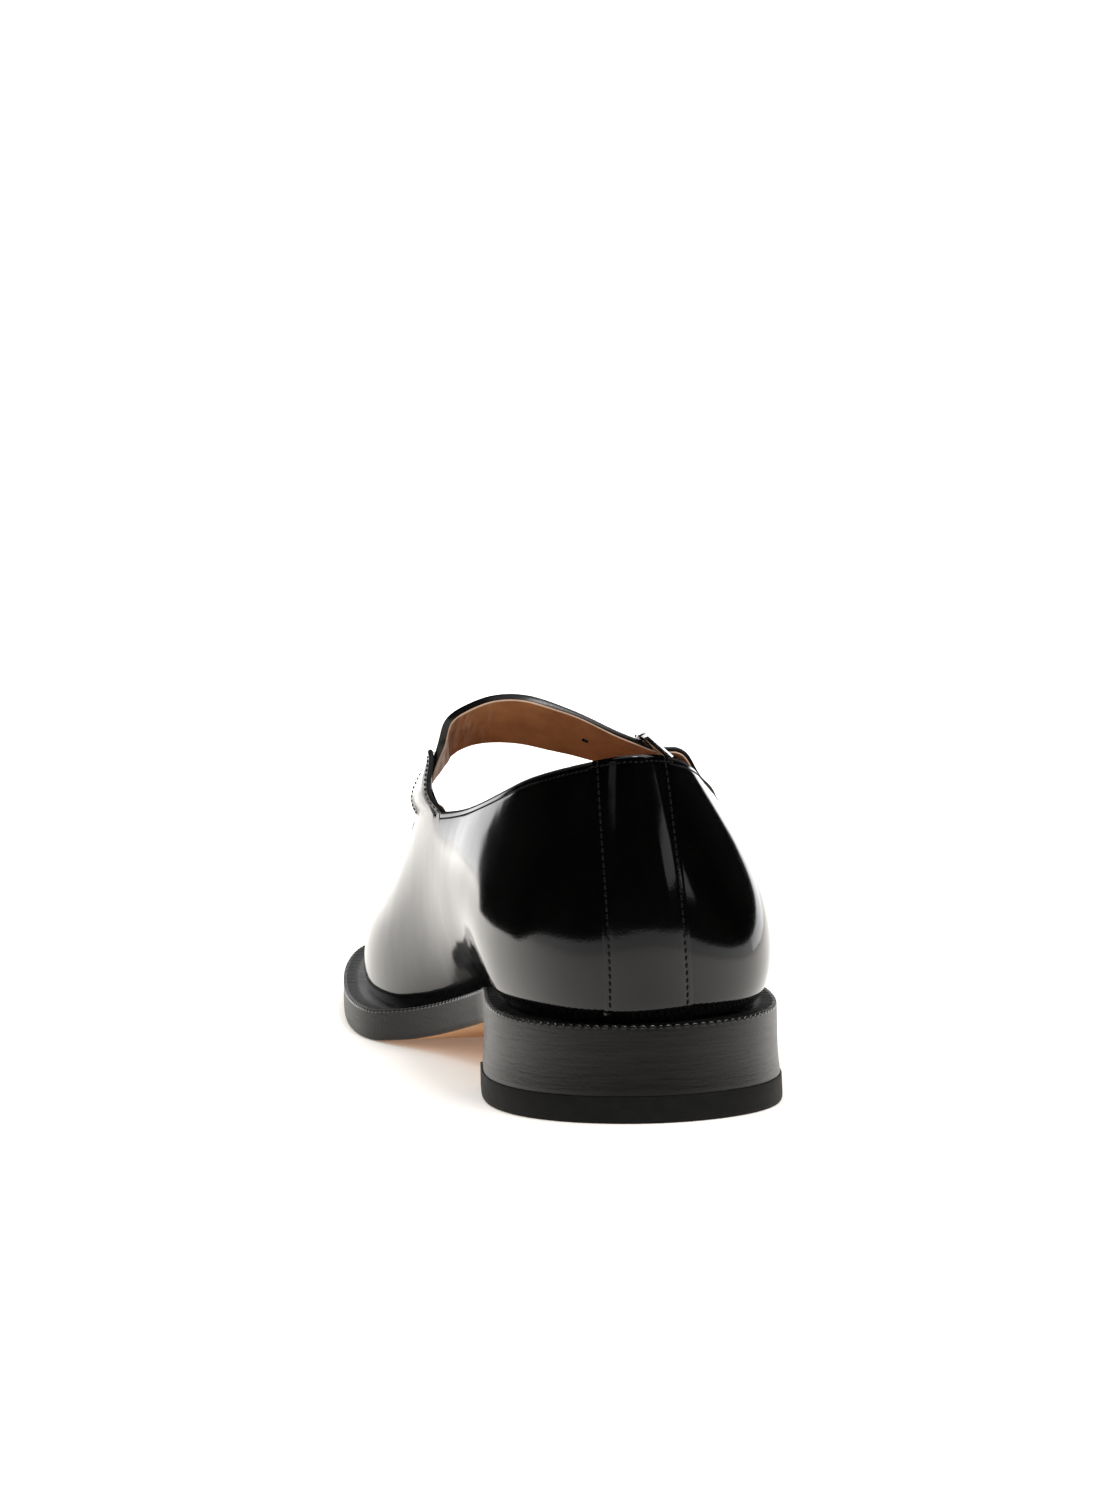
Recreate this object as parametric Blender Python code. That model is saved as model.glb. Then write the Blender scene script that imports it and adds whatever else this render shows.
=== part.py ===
"""A right-foot split-toe shoe with one instep strap, built as separate pieces.

The tables are in millimetres in a working frame: X to the outer side of the foot, Y from
the back of the heel to the toe, Z up from the floor. All pieces hang from one empty, which
moves the origin to the middle of the footprint. The objects themselves are in metres.
"""

import math

import bmesh
import bpy
import numpy as np

MM = 0.001

# Sole and heel, in millimetres
OUTSOLE_THICK = 4.3
WELT_THICK = 3.0
INSOLE_THICK = 2.6
SOLE_GAP = 0.2
HEEL_BREAST_Y = 62.0
TOP_PIECE_HEIGHT = 5.8
HEEL_FLARE = 1.03
HEEL_MIDDLE = (2.4, 35.7)
STATION_STEP = 8.0

# Upper, in millimetres
FEATHER_GAP = 0.3
WALL_AT_SOLE = 2.2
WALL_AT_TOPLINE = 1.6
WALL_AT_EAR = 1.1
INSOLE_CLEARANCE = 0.9
EAR_SHARE = 0.30
EAR_ROOT = 0.70
UPPER_COLUMNS = 108
TURN_WEIGHT = 20.0
WALL_ROWS = (0.0, 0.05, 0.12, 0.21, 0.31, 0.42, 0.53, 0.64, 0.74, 0.82, 0.88, 0.94, 1.0)

# Backstay, in millimetres
BACKSTAY_FOOT_WIDTH = 19.5
BACKSTAY_TOP_WIDTH = 18.4
BACKSTAY_FOOT_SHIFT = -0.5
BACKSTAY_TOP_SHIFT = -0.35
BACKSTAY_THICK = 0.9
BACKSTAY_GAP = 0.25
BACKSTAY_COLUMNS = 9

# Strap and buckle, in millimetres
STRAP_THICK = 1.8
STRAP_GAP = 0.5
EAR_GAP = 0.7
BUCKLE_MIDDLE = np.array((20.6, 104.3, 69.6))
BUCKLE_ALONG = np.array((0.775, -0.187, -0.604))
BUCKLE_ACROSS = np.array((-0.007, 0.953, -0.304))
FRAME_BAR_RADIUS = 0.8
FRAME_HALF_WIDTH = 8.95
FRAME_MEDIAL_BAR = -5.2
FRAME_CORNER = 2.0
HINGE_ALONG = 4.1
HINGE_DROP = 1.6
PRONG_RADIUS = 0.6
TAB_HALF_WIDTH = 6.5
TAB_THICK = 0.9
TAB_GAP = 0.55
PRONG_SLOT_HALF = 1.0

# Height of the sole's underside along the foot: (y, z)
SOLE_PROFILE = (
    (-5.0, 13.3),
    (30.0, 13.9),
    (52.0, 14.9),
    (64.0, 14.6),
    (80.0, 12.2),
    (95.0, 9.3),
    (108.0, 6.5),
    (120.0, 3.9),
    (132.0, 1.7),
    (148.0, 0.0),
    (188.0, 0.0),
    (205.0, 0.6),
    (225.0, 1.5),
    (246.0, 3.1),
    (270.0, 6.0),
)

# Edge of the welt and outsole from above, from the back round the inner side: (name, x, y)
SOLE_OUTLINE = (
    ("back", 2.4, 0.7),
    ("heel corner, inner", -19.9, 10.9),
    ("heel side, inner", -29.1, 35.7),
    ("breast, inner", -27.2, 60.0),
    ("waist, inner", -25.8, 86.0),
    ("fore waist, inner", -29.6, 110.0),
    ("waist to ball, inner", -36.4, 130.0),
    ("rear ball, inner", -42.9, 147.0),
    ("ball, inner", -44.9, 168.0),
    ("big toe joint", -42.9, 199.0),
    ("big toe side", -37.2, 234.0),
    ("big toe front", -29.5, 252.0),
    ("big toe tip", -18.5, 259.5),
    ("big toe corner", -8.8, 256.0),
    ("split, inner side", -5.7, 239.0),
    ("split root", -5.1, 213.0),
    ("split, outer side", -4.5, 239.0),
    ("small toe corner", -1.4, 256.5),
    ("small toe tip", 9.5, 260.0),
    ("small toe side", 27.0, 249.0),
    ("small toe joint", 40.5, 221.0),
    ("ball, outer", 48.0, 177.0),
    ("rear ball, outer", 44.0, 136.0),
    ("waist, outer", 36.0, 98.0),
    ("breast, outer", 33.0, 64.0),
    ("heel side, outer", 33.9, 35.7),
    ("heel corner, outer", 24.7, 10.9),
)

# The upper, one section a row, from the back round the inner side: foot x and y on the
# welt, topline x, y and z, then how far each section leans out and rises at the foot, and
# how far it leans out and drops below the topline
UPPER_SECTIONS = (
    ("back", 0.0, 4.7, -1.0, 11.5, 77.5, 6.5, 15.0, 6.0, 20.0),
    ("heel corner, inner", -17.4, 13.4, -17.0, 23.5, 73.6, 6.2, 14.0, 5.4, 18.0),
    ("heel side, inner", -25.5, 36.0, -23.0, 38.0, 69.5, 7.7, 13.0, 4.6, 16.0),
    ("rear waist, inner", -23.4, 62.0, -26.6, 61.0, 64.1, 11.0, 13.0, 6.0, 14.0),
    ("waist, inner", -21.8, 88.0, -28.7, 88.0, 59.9, 13.0, 12.0, 4.8, 13.0),
    ("strap ear", -26.0, 114.0, -31.4, 115.0, 57.4, 10.0, 12.0, 1.0, 12.0),
    ("fore waist, inner", -35.2, 142.0, -31.2, 141.0, 54.0, 3.0, 13.0, 3.5, 14.0),
    ("ball, inner", -39.1, 170.0, -28.6, 160.0, 45.0, 2.0, 14.0, 8.0, 9.0),
    ("big toe joint", -36.9, 202.0, -20.0, 174.0, 42.5, 2.0, 15.0, 16.0, 5.0),
    ("big toe side", -31.0, 232.5, -13.0, 179.0, 42.2, 2.5, 18.0, 24.0, 4.5),
    ("big toe tip", -18.8, 253.0, -8.7, 181.0, 42.2, 4.0, 21.0, 36.0, 5.5),
    ("big toe corner", -9.8, 248.0, -6.6, 181.6, 42.2, 1.2, 20.0, 36.0, 5.5),
    ("split, inner side", -6.5, 230.0, -5.0, 182.0, 42.2, -0.8, 16.0, 27.0, 4.5),
    ("split root", -5.1, 208.0, -3.6, 182.1, 42.2, -1.0, 14.0, 21.0, 3.7),
    ("split, outer side", -3.7, 230.0, -2.2, 182.0, 42.2, -0.8, 16.0, 27.0, 4.5),
    ("small toe corner", -0.4, 248.5, -0.6, 181.7, 42.2, 1.2, 20.0, 36.0, 5.5),
    ("small toe tip", 9.5, 253.5, 2.5, 181.2, 42.2, 4.0, 20.0, 36.0, 5.5),
    ("small toe side", 24.0, 243.0, 9.0, 179.0, 42.2, 3.0, 17.0, 26.0, 5.0),
    ("small toe joint", 35.8, 215.0, 19.0, 173.0, 42.5, 2.5, 15.0, 17.0, 6.0),
    ("ball, outer", 42.0, 177.0, 27.5, 159.0, 45.2, 2.5, 14.0, 9.0, 9.0),
    ("fore waist, outer", 38.8, 137.0, 33.0, 138.0, 53.5, 3.0, 13.0, 5.5, 13.0),
    ("buckle ear", 32.4, 104.0, 32.4, 104.0, 58.6, 5.0, 13.0, 5.0, 12.0),
    ("waist, outer", 29.2, 70.0, 27.8, 72.0, 63.2, 9.0, 13.0, 8.0, 14.0),
    ("heel side, outer", 29.8, 36.0, 18.6, 42.0, 70.6, 9.0, 14.0, 11.0, 17.0),
    ("heel corner, outer", 21.8, 13.5, 12.5, 24.0, 74.8, 7.0, 14.5, 8.0, 18.0),
)

# Ears that carry the strap above the topline: side of the foot (-1 inner), y where the rear
# edge starts and is full, y where the front edge leaves and ends, rise (x, y, z) at the rear
# and at the front, and bulge
EARS = (
    ("strap ear", -1, 101.5, 111.4, 129.6, 142.0, (-0.6, 1.0, 14.2), (3.0, 1.0, 13.4), 2.2),
    ("buckle ear", 1, 91.5, 96.2, 111.8, 117.0, (-7.3, -1.2, 7.6), (-8.6, -1.7, 6.1), 1.0),
)

# Top face of the strap between the strap ear and the buckle: rear edge, front edge
STRAP_ROWS = (
    ("above ear", (-29.1, 111.0, 75.3), (-26.2, 129.0, 69.0)),
    ("rise", (-28.3, 109.4, 78.4), (-25.3, 127.6, 70.4)),
    ("shoulder", (-23.4, 107.2, 82.5), (-21.6, 124.8, 72.9)),
    ("crown, inner", (-15.8, 104.5, 84.9), (-13.2, 120.8, 74.1)),
    ("crown", (-9.5, 102.8, 84.6), (-7.2, 118.8, 73.4)),
    ("crown, outer", (-2.8, 101.2, 82.4), (-1.2, 117.0, 71.8)),
    ("fall", (4.1, 99.5, 79.3), (5.0, 115.1, 69.9)),
    ("before frame", (11.4, 97.8, 75.6), (11.8, 113.2, 68.6)),
)

# Strap inside the inner ear: w of its rear edge, w of its front edge
STRAP_BASE = ((0.80, 0.79), (0.86, 0.83), (0.92, 0.87), (0.985, 0.92))

# Top face of the strap through the buckle: along, rear height, front height, half width
STRAP_IN_BUCKLE = (
    ("under bar", -4.4, -1.5, -1.8, 7.8),
    ("up through frame", -1.6, -0.6, -0.6, 7.6),
    ("level with frame", 0.5, 0.7, 0.7, 7.6),
    ("over tab", 2.4, 2.1, 2.1, 7.6),
    ("over hinge", 4.2, 2.7, 2.7, 7.6),
    ("past hinge", 6.4, 2.5, 2.7, 7.6),
)

# Prong in the buckle: along, height
PRONG_ROWS = (
    ("hook end", 5.0, -3.0),
    ("hook floor", 3.9, -3.3),
    ("hook side", 2.7, -2.5),
    ("hook back", 2.4, -1.3),
    ("through strap", 1.2, 0.1),
    ("above strap", -1.6, 1.0),
    ("on bar", -5.2, 1.65),
    ("tip", -6.8, 1.55),
)

# Finish of each piece: base colour, metallic, roughness
FINISHES = {
    "heel_top_piece": ((0.010, 0.010, 0.011), 0.0, 0.75),
    "heel_stack": ((0.012, 0.011, 0.011), 0.0, 0.40),
    "outsole": ((0.520, 0.300, 0.150), 0.0, 0.55),
    "welt": ((0.010, 0.010, 0.010), 0.0, 0.45),
    "insole": ((0.480, 0.270, 0.160), 0.0, 0.60),
    "upper": ((0.006, 0.006, 0.007), 0.0, 0.14),
    "backstay": ((0.007, 0.007, 0.008), 0.0, 0.15),
    "strap": ((0.008, 0.008, 0.009), 0.0, 0.18),
    "buckle_tab": ((0.009, 0.009, 0.010), 0.0, 0.20),
    "buckle_frame": ((0.800, 0.800, 0.810), 1.0, 0.12),
    "buckle_prong": ((0.800, 0.800, 0.811), 1.0, 0.14),
}

UP = np.array((0.0, 0.0, 1.0))


class Curve:
    """A smooth curve through rows of numbers, open or closed, with set distances apart."""

    def __init__(self, rows, spans, closed):
        self.rows = np.asarray(rows, float)
        self.spans = np.asarray(spans, float)
        self.closed = closed
        self.knots = np.concatenate(([0.0], np.cumsum(self.spans)))
        self.length = self.knots[-1]
        self.bends = self._bends()

    def _bends(self):
        count = len(self.rows)
        matrix = np.zeros((count, count))
        right = np.zeros_like(self.rows)
        for i in range(count):
            if not self.closed and i in (0, count - 1):
                matrix[i, i] = 1.0
                continue
            before, after = (i - 1) % count, (i + 1) % count
            step_in, step_out = self.spans[before], self.spans[i]
            matrix[i, before] += step_in
            matrix[i, i] += 2.0 * (step_in + step_out)
            matrix[i, after] += step_out
            slope_out = (self.rows[after] - self.rows[i]) / step_out
            slope_in = (self.rows[i] - self.rows[before]) / step_in
            right[i] = 6.0 * (slope_out - slope_in)
        return np.linalg.solve(matrix, right)

    def __call__(self, t):
        t = np.asarray(t, float)
        if self.closed:
            t = np.mod(t, self.length)
        last = len(self.spans) - 1
        i = np.clip(np.searchsorted(self.knots, t, side="right") - 1, 0, last)
        j = (i + 1) % len(self.rows)
        step = self.spans[i][:, None]
        b = (t - self.knots[i])[:, None] / step
        a = 1.0 - b
        bend = (a**3 - a) * self.bends[i] + (b**3 - b) * self.bends[j]
        return a * self.rows[i] + b * self.rows[j] + bend * step**2 / 6.0

    def slope(self, t, step=0.05):
        return (self(np.asarray(t) + step) - self(np.asarray(t) - step)) / (2.0 * step)


def distances(rows, closed):
    rows = np.asarray(rows, float)
    after = np.roll(rows, -1, axis=0) if closed else rows[1:]
    before = rows if closed else rows[:-1]
    return np.linalg.norm(after - before, axis=1)


def unit(vectors):
    return vectors / np.linalg.norm(vectors, axis=-1, keepdims=True)


def smooth(share):
    share = np.clip(share, 0.0, 1.0)
    return share * share * (3.0 - 2.0 * share)


def plan_normal(slopes):
    """Outward directions from above, for a loop that runs back, inner side, toe, outer side."""
    flat = np.zeros((len(slopes), 3))
    flat[:, 0] = -slopes[:, 1]
    flat[:, 1] = slopes[:, 0]
    return unit(flat)


def sole_underside(y):
    """Height of the sole's underside, easing from row to row without overshoot."""
    table = np.asarray(SOLE_PROFILE)
    ys, zs = table[:, 0], table[:, 1]
    steps = np.diff(ys)
    slopes = np.diff(zs) / steps
    ends = np.zeros_like(ys)
    turning = slopes[:-1] * slopes[1:] <= 0.0
    mean = 2.0 * slopes[:-1] * slopes[1:] / np.where(turning, 1.0, slopes[:-1] + slopes[1:])
    ends[1:-1] = np.where(turning, 0.0, mean)
    ends[0], ends[-1] = slopes[0], slopes[-1]
    y = np.asarray(y, float)
    i = np.clip(np.searchsorted(ys, y, side="right") - 1, 0, len(steps) - 1)
    s = (y - ys[i]) / steps[i]
    rise = zs[i] * (1 + 2 * s) * (1 - s) ** 2 + zs[i + 1] * s**2 * (3 - 2 * s)
    return rise + steps[i] * (ends[i] * s * (1 - s) ** 2 + ends[i + 1] * s**2 * (s - 1))


def welt_underside(y):
    return sole_underside(y) + OUTSOLE_THICK + SOLE_GAP


def welt_top(y):
    return welt_underside(y) + WELT_THICK


def upper_foot(y):
    return welt_top(y) + FEATHER_GAP


UPPER_ROWS = np.array([row[1:] for row in UPPER_SECTIONS])
UPPER_SPANS = 0.5 * distances(UPPER_ROWS[:, 0:2], True) + 0.5 * distances(UPPER_ROWS[:, 2:5], True)
UPPER_CURVE = Curve(UPPER_ROWS, UPPER_SPANS, True)
SOLE_ROWS = np.array([row[1:] for row in SOLE_OUTLINE])
SOLE_CURVE = Curve(SOLE_ROWS, distances(SOLE_ROWS, True), True)


def ear_shares(topline):
    """How far each ear is risen at each topline point."""
    shares = []
    for _, side, rear_start, rear_full, front_full, front_end, _, _, _ in EARS:
        rear = smooth((topline[:, 1] - rear_start) / (rear_full - rear_start))
        front = smooth((front_end - topline[:, 1]) / (front_end - front_full))
        shares.append(np.where(topline[:, 0] * side > 0.0, rear * front, 0.0))
    return shares


def upper_points(t, w):
    """Outer face of the upper: t runs round the foot, w from the welt to the top edge."""
    t = np.asarray(t, float)
    w = np.asarray(w, float)
    rows = UPPER_CURVE(t)
    slopes = UPPER_CURVE.slope(t)
    foot = np.column_stack((rows[:, 0:2], upper_foot(rows[:, 1])))
    top = rows[:, 2:5]
    foot_out, top_out = plan_normal(slopes[:, 0:2]), plan_normal(slopes[:, 2:4])
    low = foot + foot_out * rows[:, 5:6] + UP * rows[:, 6:7]
    high = top + top_out * rows[:, 7:8] - UP * rows[:, 8:9]
    shares = ear_shares(top)
    v = w + EAR_SHARE * sum(shares)[:, None] * np.maximum(w - EAR_ROOT, 0.0) / (1.0 - EAR_ROOT)
    b = np.minimum(v, 1.0)[:, :, None]
    a = 1.0 - b
    points = a**3 * foot[:, None] + 3 * a**2 * b * low[:, None]
    points = points + 3 * a * b**2 * high[:, None] + b**3 * top[:, None]
    above = np.maximum(v - 1.0, 0.0)[:, :, None] / EAR_SHARE
    for share, ear in zip(shares, EARS):
        rear_full, front_full, rear_rise, front_rise, bulge = ear[3], ear[4], *ear[6:9]
        place = np.clip((top[:, 1:2] - rear_full) / (front_full - rear_full), 0.0, 1.0)
        rise = (np.array(rear_rise) * (1.0 - place) + np.array(front_rise) * place)[:, None]
        path = rise * above + top_out[:, None] * bulge * 6.75 * above * (1.0 - above) ** 2
        points = points + np.where(share[:, None, None] > 0.0, path, 0.0)
    return points


def upper_normals(t, w, step_t=0.06, step_w=0.004):
    t = np.asarray(t, float)
    w = np.asarray(w, float)
    along = upper_points(t + step_t, w) - upper_points(t - step_t, w)
    rising = upper_points(t, np.minimum(w + step_w, 1.0)) - upper_points(t, np.maximum(w - step_w, 0.0))
    return unit(np.cross(rising, along))


def wall_normals(t, w):
    """Normals that lie flat at the welt, so that the foot of the wall stays level."""
    normals = upper_normals(t, w)
    flat = normals * np.array((1.0, 1.0, 0.0))
    share = smooth(np.asarray(w) / 0.12)[None, :, None]
    return unit(unit(flat) * (1.0 - share) + normals * share)


def wall_thickness(t, w):
    w = np.asarray(w, float)
    risen = sum(ear_shares(UPPER_CURVE(t)[:, 2:5]))[:, None]
    plain = WALL_AT_SOLE + (WALL_AT_TOPLINE - WALL_AT_SOLE) * w[None, :]
    skived = smooth((w[None, :] - 0.60) / 0.15) * risen
    return (plain + (WALL_AT_EAR - plain) * skived)[:, :, None]


def even_columns():
    """Places round the upper, spread by welt line and top edge, closer where the foot line turns."""
    dense = np.linspace(0.0, UPPER_CURVE.length, 4000)
    foot = upper_points(dense, [0.0])[:, 0]
    top = upper_points(dense, [1.0])[:, 0]
    facing = plan_normal(UPPER_CURVE.slope(dense)[:, 0:2])
    steps = distances(foot, False) + distances(top, False) + TURN_WEIGHT * distances(facing, False)
    walked = np.concatenate(([0.0], np.cumsum(steps)))
    even = np.linspace(0.0, walked[-1], UPPER_COLUMNS, endpoint=False)
    return np.interp(even, walked, dense)


def backstay_places(w):
    """Places across the backstay at one height, from its width along the surface there."""
    dense = np.linspace(-26.0, 26.0, 1041)
    path = upper_points(dense, [w])[:, 0]
    walked = np.concatenate(([0.0], np.cumsum(distances(path, False))))
    walked = walked - np.interp(0.0, dense, walked)
    half = 0.5 * (BACKSTAY_FOOT_WIDTH + (BACKSTAY_TOP_WIDTH - BACKSTAY_FOOT_WIDTH) * w)
    middle = BACKSTAY_FOOT_SHIFT + (BACKSTAY_TOP_SHIFT - BACKSTAY_FOOT_SHIFT) * w
    return np.interp(middle + np.linspace(-half, half, BACKSTAY_COLUMNS), walked, dense)


def place_on_topline(side, y):
    """The place round the upper where the topline passes y on one side of the foot."""
    dense = np.linspace(0.0, UPPER_CURVE.length, 4000)
    top = UPPER_CURVE(dense)[:, 2:5]
    fits = (top[:, 0] * side > 0.0) & (np.abs(top[:, 1] - y) < 2.0)
    nearest = np.argmin(np.abs(top[fits, 1] - y))
    return dense[fits][nearest]


def grid_solid(outer, inner, ring):
    """Points and faces of a wall between two grids; ring joins the last column to the first."""
    columns, rows = outer.shape[:2]
    points = np.concatenate((outer.reshape(-1, 3), inner.reshape(-1, 3)))
    back = columns * rows

    def at(i, j):
        return (i % columns) * rows + j

    faces = []
    for i in range(columns if ring else columns - 1):
        for j in range(rows - 1):
            quad = (at(i, j), at(i, j + 1), at(i + 1, j + 1), at(i + 1, j))
            faces.append(quad)
            faces.append(tuple(back + k for k in reversed(quad)))
        for j in (0, rows - 1):
            faces.append((at(i, j), at(i + 1, j), back + at(i + 1, j), back + at(i, j)))
    if not ring:
        for i in (0, columns - 1):
            for j in range(rows - 1):
                faces.append((at(i, j), at(i, j + 1), back + at(i, j + 1), back + at(i, j)))
    return points, faces


def plate(loop, underside, topside, front=None, foot_scale=1.0):
    """A plate with this outline from above, cut across at even steps so that it can bend."""
    plan = bmesh.new()
    plan.faces.new([plan.verts.new((x, y, 0.0)) for x, y in loop])
    if front is not None:
        everything = plan.verts[:] + plan.edges[:] + plan.faces[:]
        bmesh.ops.bisect_plane(
            plan, geom=everything, plane_co=(0, front, 0), plane_no=(0, 1, 0), clear_outer=True
        )
    for y in np.arange(STATION_STEP, loop[:, 1].max(), STATION_STEP):
        everything = plan.verts[:] + plan.edges[:] + plan.faces[:]
        bmesh.ops.bisect_plane(plan, geom=everything, plane_co=(0, y, 0), plane_no=(0, 1, 0))
    bmesh.ops.triangulate(plan, faces=plan.faces[:])
    plan.verts.index_update()
    flat = np.array([vert.co[0:2] for vert in plan.verts])
    count = len(flat)
    middle = np.array(HEEL_MIDDLE)
    low = np.column_stack((middle + (flat - middle) * foot_scale, underside(flat[:, 1])))
    high = np.column_stack((flat, topside(flat[:, 1])))
    faces = []
    for face in plan.faces:
        corners = [vert.index for vert in face.verts]
        faces.append(tuple(corners))
        faces.append(tuple(count + k for k in reversed(corners)))
    for edge in plan.edges:
        if edge.is_boundary:
            a, b = (vert.index for vert in edge.verts)
            faces.append((a, b, count + b, count + a))
    plan.free()
    return np.concatenate((low, high)), faces


def tube(path, up, radii, sides, closed):
    """A bar of round section along a path; up is a direction the path never takes."""
    path = np.asarray(path, float)
    if closed:
        heading = np.roll(path, -1, axis=0) - np.roll(path, 1, axis=0)
    else:
        heading = np.gradient(path, axis=0)
    heading = unit(heading)
    across = unit(np.cross(heading, up))
    over = np.cross(across, heading)
    angles = (np.arange(sides) + 0.5) * 2.0 * math.pi / sides
    ring = np.cos(angles)[:, None, None] * across + np.sin(angles)[:, None, None] * over
    points = path + ring * np.asarray(radii, float)[:, None]
    points = points.transpose(1, 0, 2).reshape(-1, 3)
    count = len(path)
    faces = []
    for i in range(count if closed else count - 1):
        for j in range(sides):
            k = (j + 1) % sides
            n = (i + 1) % count
            faces.append((i * sides + j, i * sides + k, n * sides + k, n * sides + j))
    if not closed:
        faces.append(tuple(range(sides)))
        faces.append(tuple(range((count - 1) * sides, count * sides)))
    return points, faces


def band(rear, front, thick, lift, stations, across):
    """A strip between two edge rows, lying from lift - thick to lift off their surface."""
    rows = np.concatenate((np.asarray(rear), np.asarray(front)), axis=1)
    curve = Curve(rows, 0.5 * distances(rows[:, 0:3], False) + 0.5 * distances(rows[:, 3:6], False), False)
    t = np.linspace(0.0, curve.length, stations)
    edges = curve(t)
    slopes = np.gradient(edges, axis=0)
    share = np.linspace(0.0, 1.0, across)[None, :, None]
    face = edges[:, None, 0:3] * (1.0 - share) + edges[:, None, 3:6] * share
    along = slopes[:, None, 0:3] * (1.0 - share) + slopes[:, None, 3:6] * share
    wide = np.repeat((edges[:, 3:6] - edges[:, 0:3])[:, None], across, axis=1)
    normals = unit(np.cross(along, wide))
    return grid_solid(face + normals * lift, face + normals * (lift - thick), False)


def in_buckle(along, across, height):
    """A point given along the strap, across it and off the face of the buckle."""
    normal = unit(np.cross(BUCKLE_ALONG, BUCKLE_ACROSS))
    return BUCKLE_MIDDLE + along * BUCKLE_ALONG + across * BUCKLE_ACROSS + height * normal


def beside_ear(ear, w, offset, inset):
    """Rear and front points of a strip that lies along an ear, off its outer or inner face."""
    side, rear_full, front_full = ear[1], ear[3], ear[4]
    places = [place_on_topline(side, y) for y in (rear_full + inset, front_full - inset)]
    points = upper_points(places, [w])[:, 0]
    normals = wall_normals(places, [w])[:, 0]
    if offset < 0.0:
        offset = offset - wall_thickness(places, [w])[:, 0]
    return points + normals * offset


def upper_mesh(columns):
    outer = upper_points(columns, WALL_ROWS)
    inner = outer - wall_normals(columns, WALL_ROWS) * wall_thickness(columns, WALL_ROWS)
    return grid_solid(outer, inner, True)


def backstay_mesh():
    face = np.empty((BACKSTAY_COLUMNS, len(WALL_ROWS), 3))
    normals = np.empty_like(face)
    for j, w in enumerate(WALL_ROWS):
        places = backstay_places(w)
        face[:, j] = upper_points(places, [w])[:, 0]
        normals[:, j] = wall_normals(places, [w])[:, 0]
    outer = face + normals * (BACKSTAY_GAP + BACKSTAY_THICK)
    return grid_solid(outer, face + normals * BACKSTAY_GAP, False)


def strap_base(rear_w, front_w):
    """Edges of the strap where it lies inside the inner ear."""
    rear = beside_ear(EARS[0], rear_w, -EAR_GAP, 0.6)[0]
    front = beside_ear(EARS[0], front_w, -EAR_GAP, 0.6)[1]
    return np.array((rear, front))


def strap_mesh():
    pairs = [strap_base(rear_w, front_w) for rear_w, front_w in STRAP_BASE]
    pairs += [np.array(row[1:]) for row in STRAP_ROWS]
    for _, along, rear_height, front_height, half in STRAP_IN_BUCKLE:
        rear = in_buckle(along, -half, rear_height)
        pairs.append(np.array((rear, in_buckle(along, half, front_height))))
    pairs += [beside_ear(EARS[1], w, STRAP_GAP + STRAP_THICK, 0.2) for w in (0.93, 0.90, 0.865, 0.83)]
    rear = [pair[0] for pair in pairs]
    front = [pair[1] for pair in pairs]
    return band(rear, front, STRAP_THICK, 0.0, 56, 5)


def tab_mesh():
    middle = TAB_GAP + TAB_THICK / 2.0
    pairs = [beside_ear(EARS[1], w, -middle, 1.4) for w in (0.79, 0.85, 0.91, 0.97)]
    reach = FRAME_BAR_RADIUS + 0.2 + TAB_THICK / 2.0
    for turn in range(-90, -280, -30):
        angle = math.radians(turn)
        along = HINGE_ALONG + reach * math.cos(angle)
        height = -HINGE_DROP + reach * math.sin(angle)
        rear = in_buckle(along, -TAB_HALF_WIDTH, height)
        pairs.append(np.array((rear, in_buckle(along, TAB_HALF_WIDTH, height))))
    rear = [pair[0] for pair in pairs]
    front = [pair[1] for pair in pairs]
    return band(rear, front, TAB_THICK, TAB_THICK / 2.0, 34, 3)


def frame_mesh():
    """The frame is a rounded ring that drops towards its hinge side."""
    far, near = FRAME_MEDIAL_BAR, HINGE_ALONG
    corners = ((near, 1), (far, 1), (far, -1), (near, -1))
    path = []
    for number, (along, side) in enumerate(corners):
        centre_along = along - math.copysign(FRAME_CORNER, along)
        centre_across = side * (FRAME_HALF_WIDTH - FRAME_CORNER)
        for step in range(5):
            angle = math.radians(90.0 * number + 22.5 * step)
            u = centre_along + FRAME_CORNER * math.cos(angle)
            w = centre_across + FRAME_CORNER * math.sin(angle)
            path.append((u, w))
        if along == far and side == 1:
            path.append((far, 0.0))
        if side == 1 and along == near:
            path += [(1.4, FRAME_HALF_WIDTH), (0.6, FRAME_HALF_WIDTH), (-0.8, FRAME_HALF_WIDTH)]
        if side == -1 and along == far:
            path += [(-0.8, -FRAME_HALF_WIDTH), (0.6, -FRAME_HALF_WIDTH), (1.4, -FRAME_HALF_WIDTH)]
    drops = [-HINGE_DROP * float(smooth((u + 1.0) / 4.2)) for u, _ in path]
    points = [in_buckle(u, w, drop) for (u, w), drop in zip(path, drops)]
    normal = unit(np.cross(BUCKLE_ALONG, BUCKLE_ACROSS))
    return tube(points, normal, [FRAME_BAR_RADIUS] * len(points), 8, True)


def prong_mesh():
    rows = np.array([in_buckle(along, 0.0, height) for _, along, height in PRONG_ROWS])
    curve = Curve(rows, distances(rows, False), False)
    path = curve(np.linspace(0.0, curve.length, 26))
    radii = np.full(len(path), PRONG_RADIUS)
    radii[[0, -1]] *= 0.6
    return tube(path, BUCKLE_ACROSS, radii, 8, False)


def box_in_buckle(along, half_across, height):
    """A cutter box given by its ends along the strap and off the face of the buckle."""
    points = [
        in_buckle(u, w, n) for u in along for w in (-half_across, half_across) for n in height
    ]
    faces = [(0, 1, 3, 2), (4, 6, 7, 5), (0, 4, 5, 1), (2, 3, 7, 6), (0, 2, 6, 4), (1, 5, 7, 3)]
    return np.array(points), faces


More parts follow.
